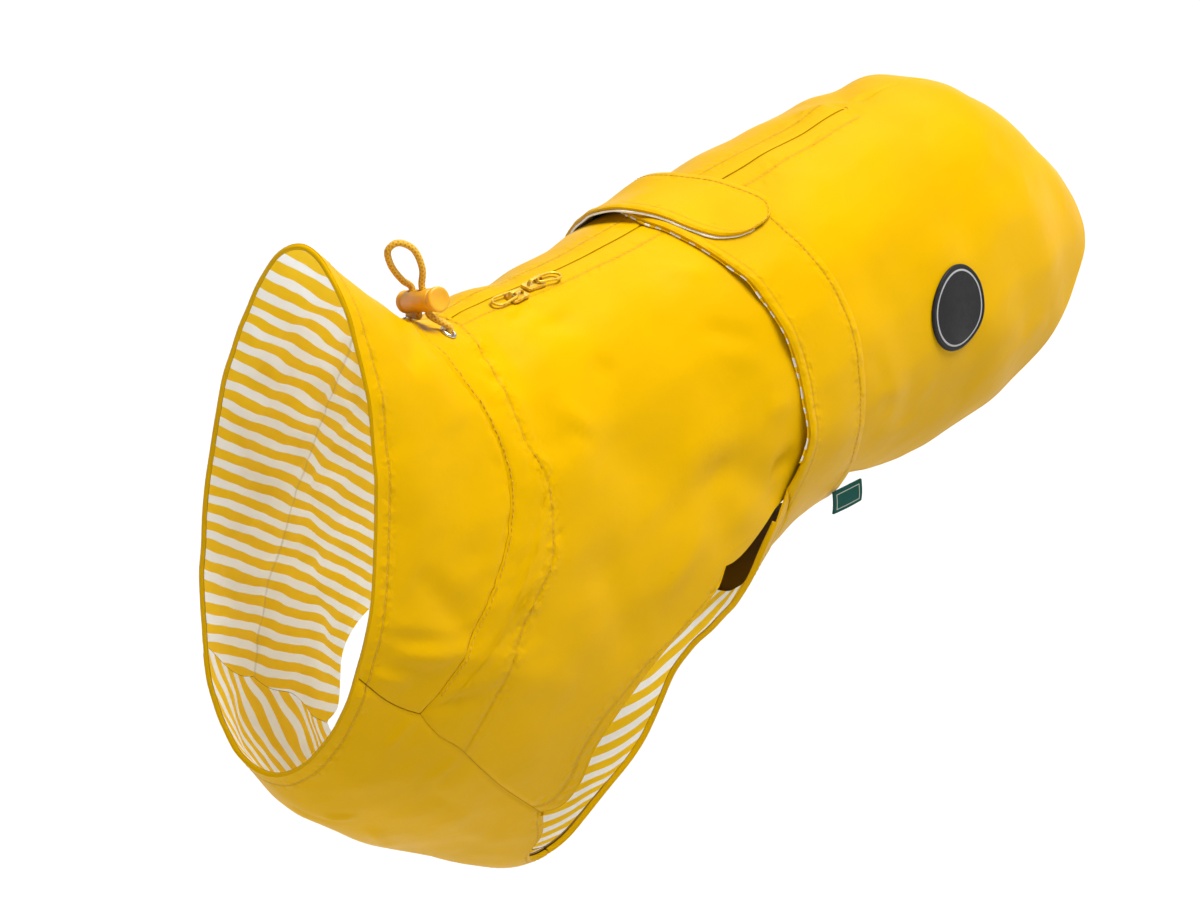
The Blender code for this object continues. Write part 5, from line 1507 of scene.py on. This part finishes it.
smooth = node(stitch_tree, "GeometryNodeSetShadeSmooth", {"Geometry": laid.outputs[0]}).outputs[0]
real = node(stitch_tree, "GeometryNodeRealizeInstances", {"Geometry": smooth}).outputs[0]
threaded = node(stitch_tree, "GeometryNodeSetMaterial",
                {"Geometry": real, "Material": thread_look}).outputs[0]
stitch_tree.links.new(threaded, result["Stitches"])


def sew(name, lines):
    """Stitches along lines of places. Each line has its places and its height off the coat's outer face."""
    points, edges = [], []
    for places_on_line, height in lines:
        first = len(points)
        line_points = cloth_point(places_on_line[:, 0], places_on_line[:, 1], height)
        points += line_points.tolist()
        edges += [(first + k, first + k + 1) for k in range(len(line_points) - 1)]
    mesh = bpy.data.meshes.new(name)
    mesh.from_pydata(points, edges, [])
    made = add_object(name, mesh)
    rows_of = made.modifiers.new("stitches", "NODES")
    rows_of.node_group = stitch_tree
    for item in stitch_tree.interface.items_tree:
        value = {"Length": STITCH_LENGTH / 2 * MM, "Pitch": STITCH_PITCH * MM, "Radius": THREAD_RADIUS * MM}
        if item.in_out == "INPUT" and item.name in value:
            rows_of[item.identifier] = value[item.name]
    finished = bpy.data.meshes.new_from_object(made.evaluated_get(bpy.context.evaluated_depsgraph_get()))
    made.modifiers.clear()
    made.data = finished
    tie(made, "coat", None)


def straight(start, end, count=40):
    start, end = np.array(start, float), np.array(end, float)
    return start + np.linspace(0, 1, count)[:, None] * (end - start)


rim_line = np.stack([np.full(300, RIM_STATION + RIM_STITCH), np.linspace(-180, 180, 300)], -1)
coat_lines = [(rim_line, 0.0)]
turns = np.linspace(0, TUNNEL_END_ANGLE, 160)
for sign in (1, -1):
    for source, offset in ((NECK_SEAM, 1.6), (TUNNEL_REAR, 0.0)):
        coat_lines.append((np.stack([line_station(source, turns) + offset, sign * turns], -1), 0.0))
    coat_lines.append((straight((12, sign * ZIP_STITCH_ANGLE), (303, sign * ZIP_STITCH_ANGLE), 300), 0.0))
    leg_stitches = back_piece(np.linspace(0.01, LEG_SHARE, 100), 1 - EDGE_STITCH / BACK_HALF_WIDTH)
    chest_stitches = chest_piece(np.linspace(0.80, 0.99, 40), 1 - EDGE_STITCH / CHEST_HALF_WIDTH)
    belly_stitches = belly_piece(np.linspace(0.01, 0.9, 110), 1 - EDGE_STITCH / BELLY_HALF_WIDTH)
    coat_lines += [(leg_stitches * (1, sign), 0.0), (chest_stitches * (1, sign), 0.0),
                   (belly_stitches * (1, sign), belly_rise(belly_stitches[:, 1]))]
for start, end in (((307.5, 0.5), (305, 6.5)), ((307.5, -0.5), (305, -6.0)), ((313, -3), (326, -1))):
    coat_lines.append((straight(start, end), 0.0))
sew("coat_stitching", coat_lines)

wing_lines = []
side_shares = (WING_STITCH / WING_WIDTH, 1 - WING_STITCH / WING_WIDTH)
for place_at, end in ((left_wing_at, 0.985), (right_wing_at, 0.975)):
    along_wing = np.linspace(0.09, end, 200)
    for row_shares, across in ((along_wing, side_shares[0]), (along_wing, side_shares[1]),
                               (np.full(30, end), np.linspace(*side_shares, 30))):
        spots = place_at(row_shares, across)
        wing_lines.append((spots[:, :2], spots[:, 2] + WING_THICKNESS + 0.1))
sew("wing_stitching", wing_lines)
